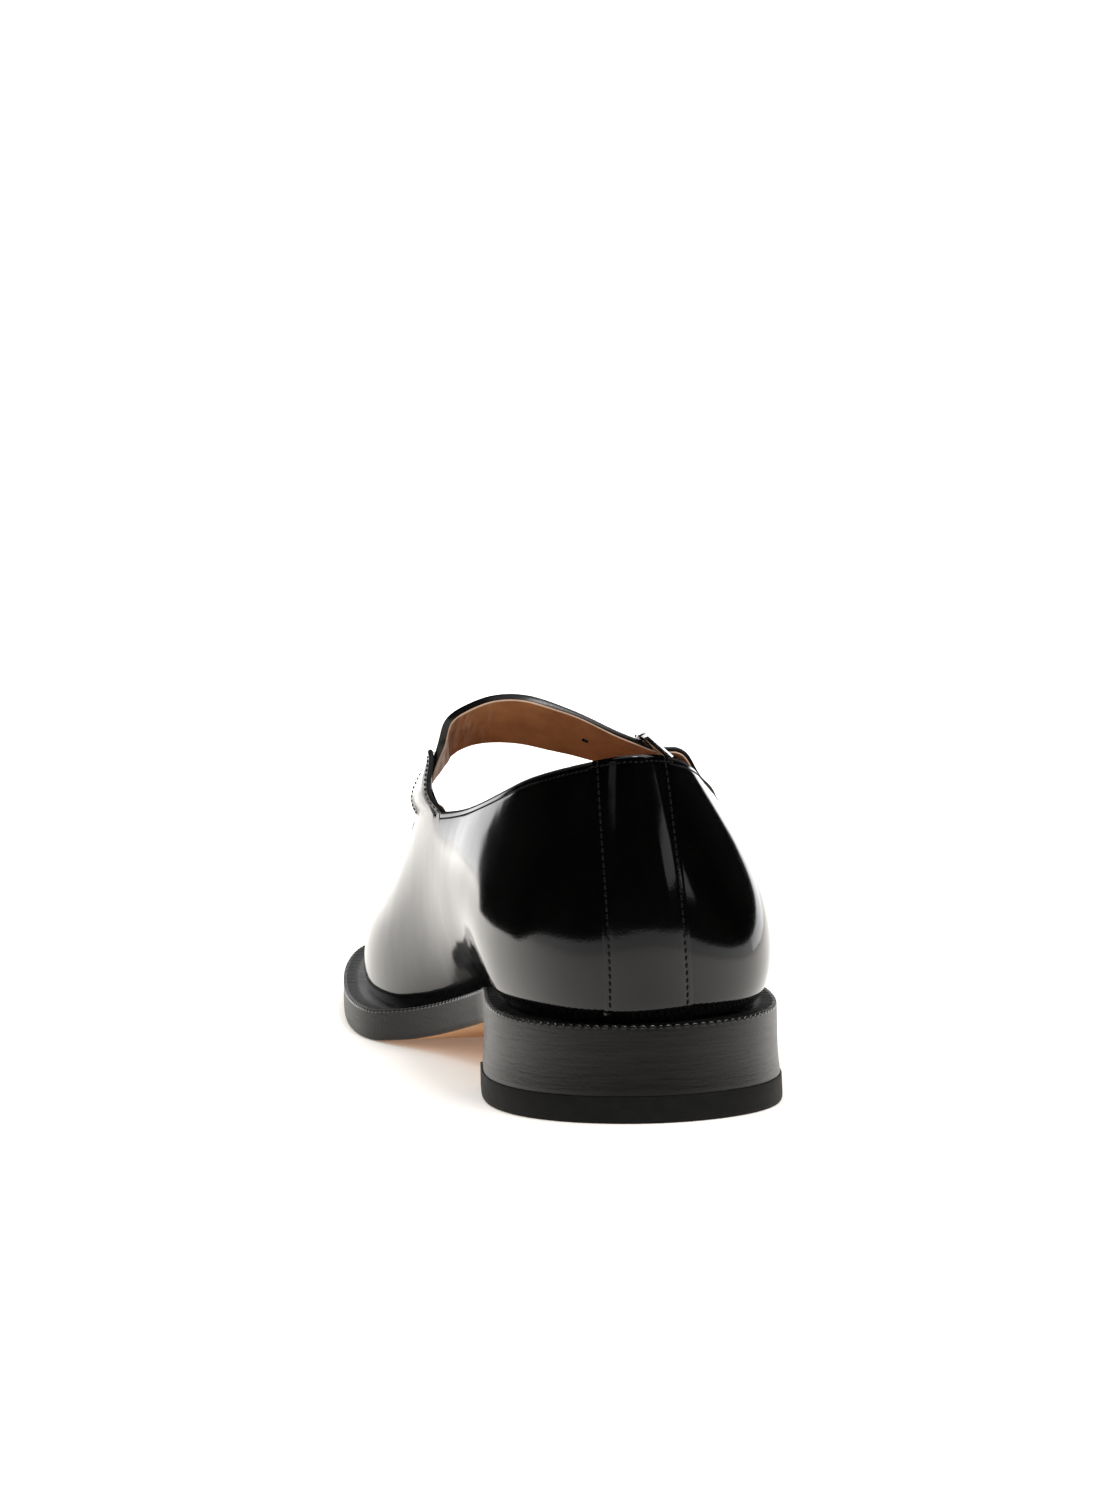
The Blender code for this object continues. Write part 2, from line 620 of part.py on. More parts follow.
def finish(name):
    colour, metallic, roughness = FINISHES[name]
    material = bpy.data.materials.new(name)
    material.use_nodes = True
    shader = material.node_tree.nodes["Principled BSDF"]
    shader.inputs["Base Color"].default_value = (*colour, 1.0)
    shader.inputs["Metallic"].default_value = metallic
    shader.inputs["Roughness"].default_value = roughness
    return material


def add_object(name, solid, parent):
    points, faces = solid
    mesh = bpy.data.meshes.new(name)
    mesh.from_pydata((points * MM).tolist(), [], faces)
    work = bmesh.new()
    work.from_mesh(mesh)
    bmesh.ops.recalc_face_normals(work, faces=work.faces[:])
    work.to_mesh(mesh)
    work.free()
    obj = bpy.data.objects.new(name, mesh)
    obj.parent = parent
    bpy.context.scene.collection.objects.link(obj)
    return obj


def cut(target, name, solid, parent):
    cutter = add_object(name, solid, parent)
    cutter.hide_render = True
    cutter.display_type = "WIRE"
    modifier = target.modifiers.new(name, "BOOLEAN")
    modifier.object = cutter
    modifier.operation = "DIFFERENCE"
    modifier.solver = "EXACT"


def heel_bottom(y):
    return np.zeros_like(y)


def top_piece_top(y):
    return np.full_like(y, TOP_PIECE_HEIGHT)


def heel_stack_foot(y):
    return np.full_like(y, TOP_PIECE_HEIGHT + SOLE_GAP)


def heel_stack_top(y):
    return sole_underside(y) - SOLE_GAP


def outsole_top(y):
    return sole_underside(y) + OUTSOLE_THICK


def insole_foot(y):
    return welt_top(y) + SOLE_GAP


def insole_top(y):
    return insole_foot(y) + INSOLE_THICK


def build():
    for obj in list(bpy.data.objects):
        bpy.data.objects.remove(obj, do_unlink=True)
    columns = even_columns()
    sole_loop = SOLE_CURVE(np.linspace(0.0, SOLE_CURVE.length, 120, endpoint=False))
    feather = UPPER_CURVE(columns)[:, 0:2]
    feather_out = plan_normal(UPPER_CURVE.slope(columns)[:, 0:2])[:, 0:2]
    insole_loop = feather - feather_out * (WALL_AT_SOLE + INSOLE_CLEARANCE)
    stack_scale = 1.0 + (HEEL_FLARE - 1.0) * 0.6
    heel_top = plate(sole_loop, heel_bottom, top_piece_top, HEEL_BREAST_Y, 1.0)
    spread = np.array((*HEEL_MIDDLE, 0.0))
    heel_top = ((heel_top[0] - spread) * (HEEL_FLARE, HEEL_FLARE, 1.0) + spread, heel_top[1])
    solids = {
        "heel_top_piece": heel_top,
        "heel_stack": plate(sole_loop, heel_stack_foot, heel_stack_top, HEEL_BREAST_Y, stack_scale),
        "outsole": plate(sole_loop, sole_underside, outsole_top),
        "welt": plate(sole_loop, welt_underside, welt_top),
        "insole": plate(insole_loop, insole_foot, insole_top),
        "upper": upper_mesh(columns),
        "backstay": backstay_mesh(),
        "strap": strap_mesh(),
        "buckle_tab": tab_mesh(),
        "buckle_frame": frame_mesh(),
        "buckle_prong": prong_mesh(),
    }
    every = np.concatenate([points for points, _ in solids.values()])
    low, high = every.min(axis=0), every.max(axis=0)
    shoe = bpy.data.objects.new("shoe", None)
    shoe.location = (-0.5 * (low[0] + high[0]) * MM, -0.5 * (low[1] + high[1]) * MM, -low[2] * MM)
    bpy.context.scene.collection.objects.link(shoe)
    pieces = {}
    for name, solid in solids.items():
        pieces[name] = add_object(name, solid, shoe)
        pieces[name].data.materials.append(finish(name))
    slot = box_in_buckle((-1.4, 3.2), PRONG_SLOT_HALF, (-4.0, 4.0))
    cut(pieces["strap"], "strap_slot_cutter", slot, shoe)
    notch = box_in_buckle((0.5, 6.2), PRONG_SLOT_HALF + 0.2, (-5.0, 1.4))
    cut(pieces["buckle_tab"], "tab_notch_cutter", notch, shoe)


build()
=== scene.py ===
"""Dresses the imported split-toe shoe in leather, linings, stitches and a small studio.

The tables repeat the part's own sizes, in millimetres in its working frame: X to the outer
side of the right foot, Y from the back of the heel to the toe, Z up from the floor.
"""

import math

import bmesh
import bpy
import numpy as np
from mathutils import Matrix, Vector, noise
from mathutils.bvhtree import BVHTree


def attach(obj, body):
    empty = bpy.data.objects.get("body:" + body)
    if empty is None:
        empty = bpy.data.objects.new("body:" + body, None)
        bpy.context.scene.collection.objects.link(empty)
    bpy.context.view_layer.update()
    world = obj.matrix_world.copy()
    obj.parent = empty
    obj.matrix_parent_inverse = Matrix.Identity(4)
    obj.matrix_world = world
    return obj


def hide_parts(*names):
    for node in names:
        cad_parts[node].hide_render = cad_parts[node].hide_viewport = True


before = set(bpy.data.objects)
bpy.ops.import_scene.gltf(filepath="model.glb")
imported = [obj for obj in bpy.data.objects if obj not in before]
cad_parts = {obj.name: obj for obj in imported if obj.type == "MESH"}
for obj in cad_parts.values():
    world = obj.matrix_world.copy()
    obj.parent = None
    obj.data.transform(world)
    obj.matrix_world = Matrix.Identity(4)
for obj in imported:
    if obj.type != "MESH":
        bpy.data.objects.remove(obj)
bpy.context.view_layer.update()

MM = 0.001
SHIFT = np.array((-1.5693, -129.8299, 0.0))
UP = np.array((0.0, 0.0, 1.0))

# Angles, in degrees, past which an edge is shaded sharp
SHARP_EDGE = 38.0
SHARP_WELT = 50.0
SHARP_BEAD = 60.0

# Sole and heel, in millimetres
OUTSOLE_THICK = 4.3
WELT_THICK = 3.0
INSOLE_THICK = 2.6
SOLE_GAP = 0.2
HEEL_BREAST_Y = 62.0
TOP_PIECE_HEIGHT = 5.8
HEEL_FLARE = 1.03
STACK_FLARE = 1.018
HEEL_RADIUS = 30.0
HEEL_MIDDLE = np.array((2.4, 35.7))
STATION_STEP = 7.0

# Upper, in millimetres
FEATHER_GAP = 0.06
WALL_AT_SOLE = 2.2
WALL_AT_TOPLINE = 1.6
WALL_AT_EAR = 1.1
INSOLE_CLEARANCE = 0.9
INSOLE_OVER = 0.5
LINING_SHORT_OF_EAR = 0.19
EAR_SHARE = 0.30
EAR_ROOT = 0.70
TOPLINE_WEIGHT = 1.6
TURN_WEIGHT = 20.0
LEATHER_SHARE = 0.62
EDGE_ROLL = 0.55
UNEVENNESS = 0.05
STITCH_BELOW_EDGE = 1.75
STITCH_GROOVE = 0.07
WHEEL_PITCH = 2.05

# How far the upper is drawn in at the welt and how high that reaches, at heel and forefoot,
# and where along the foot the one turns into the other
FOOT_TUCK = (1.1, 0.7)
FOOT_TUCK_HEIGHT = (5.0, 4.0)
FOREFOOT_Y = (90.0, 130.0)

# Backstay, in millimetres
BACKSTAY_FOOT_WIDTH = 19.5
BACKSTAY_TOP_WIDTH = 18.4
BACKSTAY_MIDDLE = -0.5
BACKSTAY_LEAN = 0.15
BACKSTAY_REACH = 28.0
BACKSTAY_OUT = 0.95
BACKSTAY_STITCH_INSET = 1.35
BACKSTAY_EDGE = 0.3

# Where the topline's stitches pass over the backstay: middle x, half width, greatest y
OVER_BACKSTAY = (-1.0, 8.6, 24.0)

# Thread beads of the stitches, in millimetres
BACKSTAY_STITCH = {"pitch": 1.6, "length": 1.5, "width": 0.52, "height": 0.28}
TOPLINE_STITCH = {"pitch": 1.25, "length": 1.1, "width": 0.42, "height": 0.22}

# Strap and buckle, in millimetres. Skives: length from the end, then length of the taper
STRAP_THICK = 1.8
STRAP_LEATHER = 1.7
STRAP_LINED = 2.2
STRAP_GAP = 0.5
STRAP_TIP_RADIUS = 7.3
STRAP_SKIVE = 0.5
SKIVE_AT_TIP = (4.0, 15.0)
SKIVE_AT_EAR = (8.0, 12.0)
SKIVE_IN_BUCKLE = (38.0, 10.0)
EAR_GAP = 0.35
BUCKLE_MIDDLE = np.array((20.6, 104.3, 69.6))
BUCKLE_ALONG = np.array((0.775, -0.187, -0.604))
BUCKLE_ACROSS = np.array((-0.007, 0.953, -0.304))
FRAME_BAR_RADIUS = 0.8
FRAME_HALF_WIDTH = 8.95
FRAME_MEDIAL_BAR = -5.2
FRAME_CORNER = 1.1
FRAME_SECTION = {
    "inner": 0.8,
    "outer_low": 1.05,
    "outer_high": 0.45,
    "half_high": 0.82,
    "corner": 0.12,
}
HINGE_ALONG = 4.1
HINGE_DROP = 1.6
FRAME_DROP = 0.75
PRONG_RADIUS = 0.6
TAB_HALF_WIDTH = 6.5
TAB_THICK = 0.9
TAB_GAP = 0.55
TAB_ROUND_BAR = 0.2
TAB_INSET = 1.4
STRAP_BASE_INSET = 0.6
STRAP_TIP_INSET = 0.2
STRAP_HOLE_RADIUS = 0.85
HOLES_FROM_PRONG = (-16.9, 8.0)

# Slots for the prong: from and to along the strap, half width, from and to height
STRAP_SLOT = ((-1.4, 3.2), 1.0, (-4.0, 4.0))
TAB_SLOT = ((0.5, 6.2), 1.2, (-5.0, 1.4))

# Number of the face on the front side in the strap's section
STRAP_FRONT_SIDE = 17

# Height of the sole's underside along the foot: (y, z)
SOLE_PROFILE = (
    (-5.0, 13.3),
    (30.0, 13.9),
    (52.0, 14.9),
    (64.0, 14.6),
    (80.0, 12.2),
    (95.0, 9.3),
    (108.0, 6.5),
    (120.0, 3.9),
    (132.0, 1.7),
    (148.0, 0.0),
    (188.0, 0.0),
    (205.0, 0.6),
    (225.0, 1.5),
    (246.0, 3.1),
    (270.0, 6.0),
)

# Edge of the welt and outsole from above, from the back round the inner side: (name, x, y)
SOLE_OUTLINE = (
    ("back", 2.4, 0.7),
    ("heel corner, inner", -19.9, 10.9),
    ("heel side, inner", -29.1, 35.7),
    ("breast, inner", -27.2, 60.0),
    ("waist, inner", -25.8, 86.0),
    ("fore waist, inner", -29.6, 110.0),
    ("waist to ball, inner", -36.4, 130.0),
    ("rear ball, inner", -42.9, 147.0),
    ("ball, inner", -44.9, 168.0),
    ("big toe joint", -42.9, 199.0),
    ("big toe side", -37.2, 234.0),
    ("big toe front", -29.5, 252.0),
    ("big toe tip", -18.5, 259.5),
    ("big toe corner", -8.8, 256.0),
    ("split, inner side", -5.7, 239.0),
    ("split root", -5.1, 213.0),
    ("split, outer side", -4.5, 239.0),
    ("small toe corner", -1.4, 256.5),
    ("small toe tip", 9.5, 260.0),
    ("small toe side", 27.0, 249.0),
    ("small toe joint", 40.5, 221.0),
    ("ball, outer", 48.0, 177.0),
    ("rear ball, outer", 44.0, 136.0),
    ("waist, outer", 36.0, 98.0),
    ("breast, outer", 33.0, 64.0),
    ("heel side, outer", 33.9, 35.7),
    ("heel corner, outer", 24.7, 10.9),
)

# The upper, one section a row, from the back round the inner side: foot x and y on the
# welt, topline x, y and z, then how far each section leans out and rises at the foot, and
# how far it leans out and drops below the topline
UPPER_SECTIONS = (
    ("back", 0.0, 4.7, -1.0, 11.5, 77.5, 6.5, 15.0, 6.0, 20.0),
    ("heel corner, inner", -17.4, 13.4, -17.0, 23.5, 73.6, 6.2, 14.0, 5.4, 18.0),
    ("heel side, inner", -25.5, 36.0, -23.0, 38.0, 69.5, 7.7, 13.0, 4.6, 16.0),
    ("rear waist, inner", -23.4, 62.0, -26.6, 61.0, 64.1, 11.0, 13.0, 6.0, 14.0),
    ("waist, inner", -21.8, 88.0, -28.7, 88.0, 59.9, 13.0, 12.0, 4.8, 13.0),
    ("strap ear", -26.0, 114.0, -31.4, 115.0, 57.4, 10.0, 12.0, 1.0, 12.0),
    ("fore waist, inner", -35.2, 142.0, -31.2, 141.0, 54.0, 3.0, 13.0, 3.5, 14.0),
    ("ball, inner", -39.1, 170.0, -28.6, 160.0, 45.0, 2.0, 14.0, 8.0, 9.0),
    ("big toe joint", -36.9, 202.0, -20.0, 174.0, 42.5, 2.0, 15.0, 16.0, 5.0),
    ("big toe side", -31.0, 232.5, -13.0, 179.0, 42.2, 2.5, 18.0, 24.0, 4.5),
    ("big toe tip", -18.8, 253.0, -8.7, 181.0, 42.2, 4.0, 21.0, 36.0, 5.5),
    ("big toe corner", -9.8, 248.0, -6.6, 181.6, 42.2, 1.2, 20.0, 36.0, 5.5),
    ("split, inner side", -6.5, 230.0, -5.0, 182.0, 42.2, -0.8, 16.0, 27.0, 4.5),
    ("split root", -5.1, 208.0, -3.6, 182.1, 42.2, -1.0, 14.0, 21.0, 3.7),
    ("split, outer side", -3.7, 230.0, -2.2, 182.0, 42.2, -0.8, 16.0, 27.0, 4.5),
    ("small toe corner", -0.4, 248.5, -0.6, 181.7, 42.2, 1.2, 20.0, 36.0, 5.5),
    ("small toe tip", 9.5, 253.5, 2.5, 181.2, 42.2, 4.0, 20.0, 36.0, 5.5),
    ("small toe side", 24.0, 243.0, 9.0, 179.0, 42.2, 3.0, 17.0, 26.0, 5.0),
    ("small toe joint", 35.8, 215.0, 19.0, 173.0, 42.5, 2.5, 15.0, 17.0, 6.0),
    ("ball, outer", 42.0, 177.0, 27.5, 159.0, 45.2, 2.5, 14.0, 9.0, 9.0),
    ("fore waist, outer", 38.8, 137.0, 33.0, 138.0, 53.5, 3.0, 13.0, 5.5, 13.0),
    ("buckle ear", 32.4, 104.0, 32.4, 104.0, 58.6, 5.0, 13.0, 5.0, 12.0),
    ("waist, outer", 29.2, 70.0, 27.8, 72.0, 63.2, 9.0, 13.0, 8.0, 14.0),
    ("heel side, outer", 29.8, 36.0, 18.6, 42.0, 70.6, 9.0, 14.0, 11.0, 17.0),
    ("heel corner, outer", 21.8, 13.5, 12.5, 24.0, 74.8, 7.0, 14.5, 8.0, 18.0),
)

# Ears that carry the strap above the topline: side of the foot (-1 inner), y where the rear
# edge starts and is full, y where the front edge leaves and ends, rise (x, y, z) at the rear
# and at the front, and bulge
EARS = (
    ("strap ear", -1, 101.5, 111.4, 129.6, 142.0, (-0.6, 1.0, 14.2), (3.0, 1.0, 13.4), 2.2),
    ("buckle ear", 1, 91.5, 96.2, 111.8, 117.0, (-7.3, -1.2, 7.6), (-8.6, -1.7, 6.1), 1.0),
)

# Top face of the strap between the strap ear and the buckle: rear edge, front edge
STRAP_ROWS = (
    ("above ear", (-29.1, 111.0, 75.3), (-26.2, 129.0, 69.0)),
    ("rise", (-28.3, 109.4, 78.4), (-25.3, 127.6, 70.4)),
    ("shoulder", (-23.4, 107.2, 82.5), (-21.6, 124.8, 72.9)),
    ("crown, inner", (-15.8, 104.5, 84.9), (-13.2, 120.8, 74.1)),
    ("crown", (-9.5, 102.8, 84.6), (-7.2, 118.8, 73.4)),
    ("crown, outer", (-2.8, 101.2, 82.4), (-1.2, 117.0, 71.8)),
    ("fall", (4.1, 99.5, 79.3), (5.0, 115.1, 69.9)),
    ("before frame", (11.4, 97.8, 75.6), (11.8, 113.2, 68.6)),
)

# Strap inside the inner ear: w of its rear edge, w of its front edge. Then the w of its tip
# outside the outer ear, and of the buckle loop inside that ear
STRAP_BASE = ((0.80, 0.79), (0.86, 0.83), (0.92, 0.87), (0.985, 0.92))
STRAP_TIP = (0.93, 0.90, 0.865, 0.83)
TAB_IN_EAR = (0.79, 0.85, 0.91, 0.97)

# Top face of the strap through the buckle: along, rear height, front height, half width
STRAP_IN_BUCKLE = (
    ("under bar", -4.4, -1.5, -1.8, 7.8),
    ("up through frame", -1.6, -0.6, -0.6, 7.6),
    ("level with frame", 0.5, 0.7, 0.7, 7.6),
    ("over tab", 2.4, 2.1, 2.1, 7.6),
    ("over hinge", 4.2, 2.7, 2.7, 7.6),
    ("past hinge", 6.4, 2.5, 2.7, 7.6),
)

# Prong in the buckle: along, height
PRONG_ROWS = (
    ("hook end", 5.0, -3.0),
    ("hook floor", 3.9, -3.3),
    ("hook side", 2.7, -2.5),
    ("hook back", 2.4, -1.3),
    ("through strap", 1.2, 0.1),
    ("above strap", -1.6, 0.8),
    ("on bar", -5.2, 0.75),
    ("tip", -6.8, 0.55),
)

# Creases across the strap's lining by the inner ear: share along the strap, depth, width
LINING_CREASES = (
    ("at the ear", 0.175, 0.30, 0.9),
    ("above the ear", 0.200, 0.42, 1.1),
    ("on the rise", 0.226, 0.46, 1.2),
    ("below the shoulder", 0.252, 0.36, 1.0),
    ("on the shoulder", 0.280, 0.26, 1.3),
    ("past the shoulder", 0.330, 0.06, 1.6),
)

# Soft hollows and swells of the outer leather: x, y, z, radius, height
LEATHER_SWELLS = (
    ("counter, inner", -20.0, 18.0, 50.0, 16.0, -0.10),
    ("counter, outer", 22.0, 18.0, 52.0, 14.0, -0.08),
    ("waist, inner", -30.0, 92.0, 44.0, 18.0, 0.12),
    ("strap ear root", -32.0, 112.0, 52.0, 9.0, 0.10),
    ("vamp, inner", -22.0, 196.0, 36.0, 12.0, -0.16),
    ("vamp, outer", 16.0, 194.0, 36.0, 13.0, -0.16),
    ("small toe joint", 34.0, 196.0, 24.0, 14.0, 0.14),
)

# Studio, in metres and degrees round the shoe from the camera's side, the inner side negative
STUDIO_NEAR = -2.6
STUDIO_FAR = 2.2
STUDIO_SIDE = 5.0
BACKDROP_TOP = 4.0
BACKDROP_GLOW = (2.3, 0.75)
BACKDROP_FADE = 0.55
SCREEN_ANGLES = (-150.0, 153.0)
SCREEN_CLOSE_END = -112.0
SCREEN_CHANGE = 42.0
SCREEN_CLOSE = 0.50
SCREEN_FAR = 1.70
SCREEN_FOOT = 0.15
SCREEN_TOP = 2.4

# Lights: name, place, aim, size, power, and whether the leather mirrors the lamp itself
LIGHTS = (
    ("top_softbox", (0.95, -0.35, 1.5), (0.0, 0.0, 0.0), (1.1, 1.1), 7.0, True),
    ("floor_wash", (-0.25, 1.05, 0.70), (-0.25, 0.85, 0.0), (0.8, 0.8), 9.0, False),
    ("far_wash", (-0.45, 1.75, 0.70), (-0.45, 1.75, 0.0), (1.2, 0.9), 7.0, False),
    ("rim_spark", (0.20, -0.45, 1.30), (0.0, -0.10, 0.03), (0.30, 0.16), 4.5, True),
    ("front_right_strip", (1.30, -0.86, 0.54), (0.0, -0.12, 0.06), (0.60, 0.20), 0.36, True),
    ("front_left_strip", (-1.20, -1.02, 0.84), (0.0, -0.12, 0.06), (0.40, 0.24), 0.11, True),
)


class Curve:
    """A smooth curve through rows of numbers, open or closed, with set distances apart."""

    def __init__(self, rows, spans, closed):
        self.rows = np.asarray(rows, float)
        self.spans = np.asarray(spans, float)
        self.closed = closed
        self.knots = np.concatenate(([0.0], np.cumsum(self.spans)))
        self.length = self.knots[-1]
        self.bends = self._bends()

    def _bends(self):
        count = len(self.rows)
        matrix = np.zeros((count, count))
        right = np.zeros_like(self.rows)
        for i in range(count):
            if not self.closed and i in (0, count - 1):
                matrix[i, i] = 1.0
                continue
            before, after = (i - 1) % count, (i + 1) % count
            step_in, step_out = self.spans[before], self.spans[i]
            matrix[i, before] += step_in
            matrix[i, i] += 2.0 * (step_in + step_out)
            matrix[i, after] += step_out
            slope_out = (self.rows[after] - self.rows[i]) / step_out
            slope_in = (self.rows[i] - self.rows[before]) / step_in
            right[i] = 6.0 * (slope_out - slope_in)
        return np.linalg.solve(matrix, right)

    def __call__(self, t):
        t = np.asarray(t, float)
        if self.closed:
            t = np.mod(t, self.length)
        last = len(self.spans) - 1
        i = np.clip(np.searchsorted(self.knots, t, side="right") - 1, 0, last)
        j = (i + 1) % len(self.rows)
        step = self.spans[i][:, None]
        b = (t - self.knots[i])[:, None] / step
        a = 1.0 - b
        bend = (a**3 - a) * self.bends[i] + (b**3 - b) * self.bends[j]
        return a * self.rows[i] + b * self.rows[j] + bend * step**2 / 6.0

    def slope(self, t, step=0.05):
        return (self(np.asarray(t) + step) - self(np.asarray(t) - step)) / (2.0 * step)


def distances(rows, closed):
    """Distance from each row to the next."""
    rows = np.asarray(rows, float)
    after = np.roll(rows, -1, axis=0) if closed else rows[1:]
    before = rows if closed else rows[:-1]
    return np.linalg.norm(after - before, axis=1)


def walked_along(rows, closed=False):
    """Distance from the first row to each row, walked along them."""
    return np.concatenate(([0.0], np.cumsum(distances(rows, closed))))


def rows_at(places, walked, rows):
    """Rows at distances along a path whose own rows lie at the walked distances."""
    return np.column_stack([np.interp(places, walked, column) for column in rows.T])


def unit(vectors):
    return vectors / np.linalg.norm(vectors, axis=-1, keepdims=True)


def smooth(share):
    """Eases a share between 0 and 1 at both ends."""
    share = np.clip(share, 0.0, 1.0)
    return share * share * (3.0 - 2.0 * share)


def plan_normal(slopes):
    """Outward directions from above, for a loop that runs back, inner side, toe, outer side."""
    flat = np.zeros((len(slopes), 3))
    flat[:, 0] = -slopes[:, 1]
    flat[:, 1] = slopes[:, 0]
    return unit(flat)


def sole_underside(y):
    """Height of the sole's underside, easing from row to row without overshoot."""
    table = np.asarray(SOLE_PROFILE)
    ys, zs = table[:, 0], table[:, 1]
    steps = np.diff(ys)
    slopes = np.diff(zs) / steps
    ends = np.zeros_like(ys)
    turning = slopes[:-1] * slopes[1:] <= 0.0
    mean = 2.0 * slopes[:-1] * slopes[1:] / np.where(turning, 1.0, slopes[:-1] + slopes[1:])
    ends[1:-1] = np.where(turning, 0.0, mean)
    ends[0], ends[-1] = slopes[0], slopes[-1]
    y = np.asarray(y, float)
    i = np.clip(np.searchsorted(ys, y, side="right") - 1, 0, len(steps) - 1)
    s = (y - ys[i]) / steps[i]
    rise = zs[i] * (1 + 2 * s) * (1 - s) ** 2 + zs[i + 1] * s**2 * (3 - 2 * s)
    return rise + steps[i] * (ends[i] * s * (1 - s) ** 2 + ends[i + 1] * s**2 * (s - 1))


def welt_underside(y):
    return sole_underside(y) + OUTSOLE_THICK + SOLE_GAP


def welt_top(y):
    return welt_underside(y) + WELT_THICK


def upper_foot(y):
    return welt_top(y) + FEATHER_GAP


UPPER_ROWS = np.array([row[1:] for row in UPPER_SECTIONS])
UPPER_SPANS = 0.5 * distances(UPPER_ROWS[:, 0:2], True) + 0.5 * distances(UPPER_ROWS[:, 2:5], True)
UPPER_CURVE = Curve(UPPER_ROWS, UPPER_SPANS, True)
SOLE_ROWS = np.array([row[1:] for row in SOLE_OUTLINE])
SOLE_CURVE = Curve(SOLE_ROWS, distances(SOLE_ROWS, True), True)


def ear_shares(topline):
    """How far each ear is risen at each topline point."""
    shares = []
    for _, side, rear_start, rear_full, front_full, front_end, _, _, _ in EARS:
        rear = smooth((topline[:, 1] - rear_start) / (rear_full - rear_start))
        front = smooth((front_end - topline[:, 1]) / (front_end - front_full))
        shares.append(np.where(topline[:, 0] * side > 0.0, rear * front, 0.0))
    return shares


def upper_points(t, w):
    """Outer face of the upper: t runs round the foot, w from the welt to the top edge."""
    t = np.asarray(t, float)
    w = np.atleast_2d(np.asarray(w, float))
    rows = UPPER_CURVE(t)
    slopes = UPPER_CURVE.slope(t)
    foot = np.column_stack((rows[:, 0:2], upper_foot(rows[:, 1])))
    top = rows[:, 2:5]
    foot_out, top_out = plan_normal(slopes[:, 0:2]), plan_normal(slopes[:, 2:4])
    low = foot + foot_out * rows[:, 5:6] + UP * rows[:, 6:7]
    high = top + top_out * rows[:, 7:8] - UP * rows[:, 8:9]
    shares = ear_shares(top)
    v = w + EAR_SHARE * sum(shares)[:, None] * np.maximum(w - EAR_ROOT, 0.0) / (1.0 - EAR_ROOT)
    b = np.minimum(v, 1.0)[:, :, None]
    a = 1.0 - b
    points = a**3 * foot[:, None] + 3 * a**2 * b * low[:, None]
    points = points + 3 * a * b**2 * high[:, None] + b**3 * top[:, None]
    above = np.maximum(v - 1.0, 0.0)[:, :, None] / EAR_SHARE
    for share, ear in zip(shares, EARS):
        rear_full, front_full, rear_rise, front_rise, bulge = ear[3], ear[4], *ear[6:9]
        place = np.clip((top[:, 1:2] - rear_full) / (front_full - rear_full), 0.0, 1.0)
        rise = (np.array(rear_rise) * (1.0 - place) + np.array(front_rise) * place)[:, None]
        path = rise * above + top_out[:, None] * bulge * 6.75 * above * (1.0 - above) ** 2
        points = points + np.where(share[:, None, None] > 0.0, path, 0.0)
    return points


def upper_normals(t, w, step_t=0.06, step_w=0.004):
    """Outward normals of the upper."""
    t = np.asarray(t, float)
    w = np.atleast_2d(np.asarray(w, float))
    along = upper_points(t + step_t, w) - upper_points(t - step_t, w)
    higher = upper_points(t, np.minimum(w + step_w, 1.0))
    rising = higher - upper_points(t, np.maximum(w - step_w, 0.0))
    return unit(np.cross(rising, along))


def wall_normals(t, w):
    """Normals that lie flat at the welt, so that the foot of the wall stays level."""
    w = np.atleast_2d(np.asarray(w, float))
    normals = upper_normals(t, w)
    flat = normals * np.array((1.0, 1.0, 0.0))
    share = smooth(w / 0.12)[:, :, None]
    return unit(unit(flat) * (1.0 - share) + normals * share)


def wall_thickness(t, w):
    """Thickness of the upper's wall, thinner towards the topline and in the ears."""
    w = np.atleast_2d(np.asarray(w, float))
    risen = ear_rise(t)[:, None]
    plain = WALL_AT_SOLE + (WALL_AT_TOPLINE - WALL_AT_SOLE) * w
    skived = smooth((w - 0.60) / 0.15) * risen
    return (plain + (WALL_AT_EAR - plain) * skived)[:, :, None]


def even_columns(count):
    """Places round the upper, spread by welt line and top edge, closer where the foot turns."""
    dense = np.linspace(0.0, UPPER_CURVE.length, 6000)
    foot = upper_points(dense, [0.0])[:, 0]
    top = upper_points(dense, [1.0])[:, 0]
    facing = plan_normal(UPPER_CURVE.slope(dense)[:, 0:2])
    steps = distances(foot, False) + TOPLINE_WEIGHT * distances(top, False)
    steps = steps + TURN_WEIGHT * distances(facing, False)
    walked = np.concatenate(([0.0], np.cumsum(steps)))
    even = np.linspace(0.0, walked[-1], count, endpoint=False)
    return np.interp(even, walked, dense)


def ear_rise(t):
    """How far an ear is risen at each place round the upper."""
    return sum(ear_shares(UPPER_CURVE(t)[:, 2:5]))


def below_edge(t, below, cap):
    """The w of places a set distance, in millimetres, below the w where a layer ends."""
    step = 0.02
    top = upper_points(t, cap[:, None])[:, 0]
    lower = upper_points(t, cap[:, None] - step)[:, 0]
    return cap - below * step / np.linalg.norm(top - lower, axis=1)


def place_on_topline(side, y):
    """The place round the upper where the topline passes y on one side of the foot."""
    dense = np.linspace(0.0, UPPER_CURVE.length, 4000)
    top = UPPER_CURVE(dense)[:, 2:5]
    fits = (top[:, 0] * side > 0.0) & (np.abs(top[:, 1] - y) < 2.0)
    nearest = np.argmin(np.abs(top[fits, 1] - y))
    return dense[fits][nearest]


def in_buckle(along, across, height):
    """A point given along the strap, across it and off the face of the buckle."""
    normal = unit(np.cross(BUCKLE_ALONG, BUCKLE_ACROSS))
    return BUCKLE_MIDDLE + along * BUCKLE_ALONG + across * BUCKLE_ACROSS + height * normal


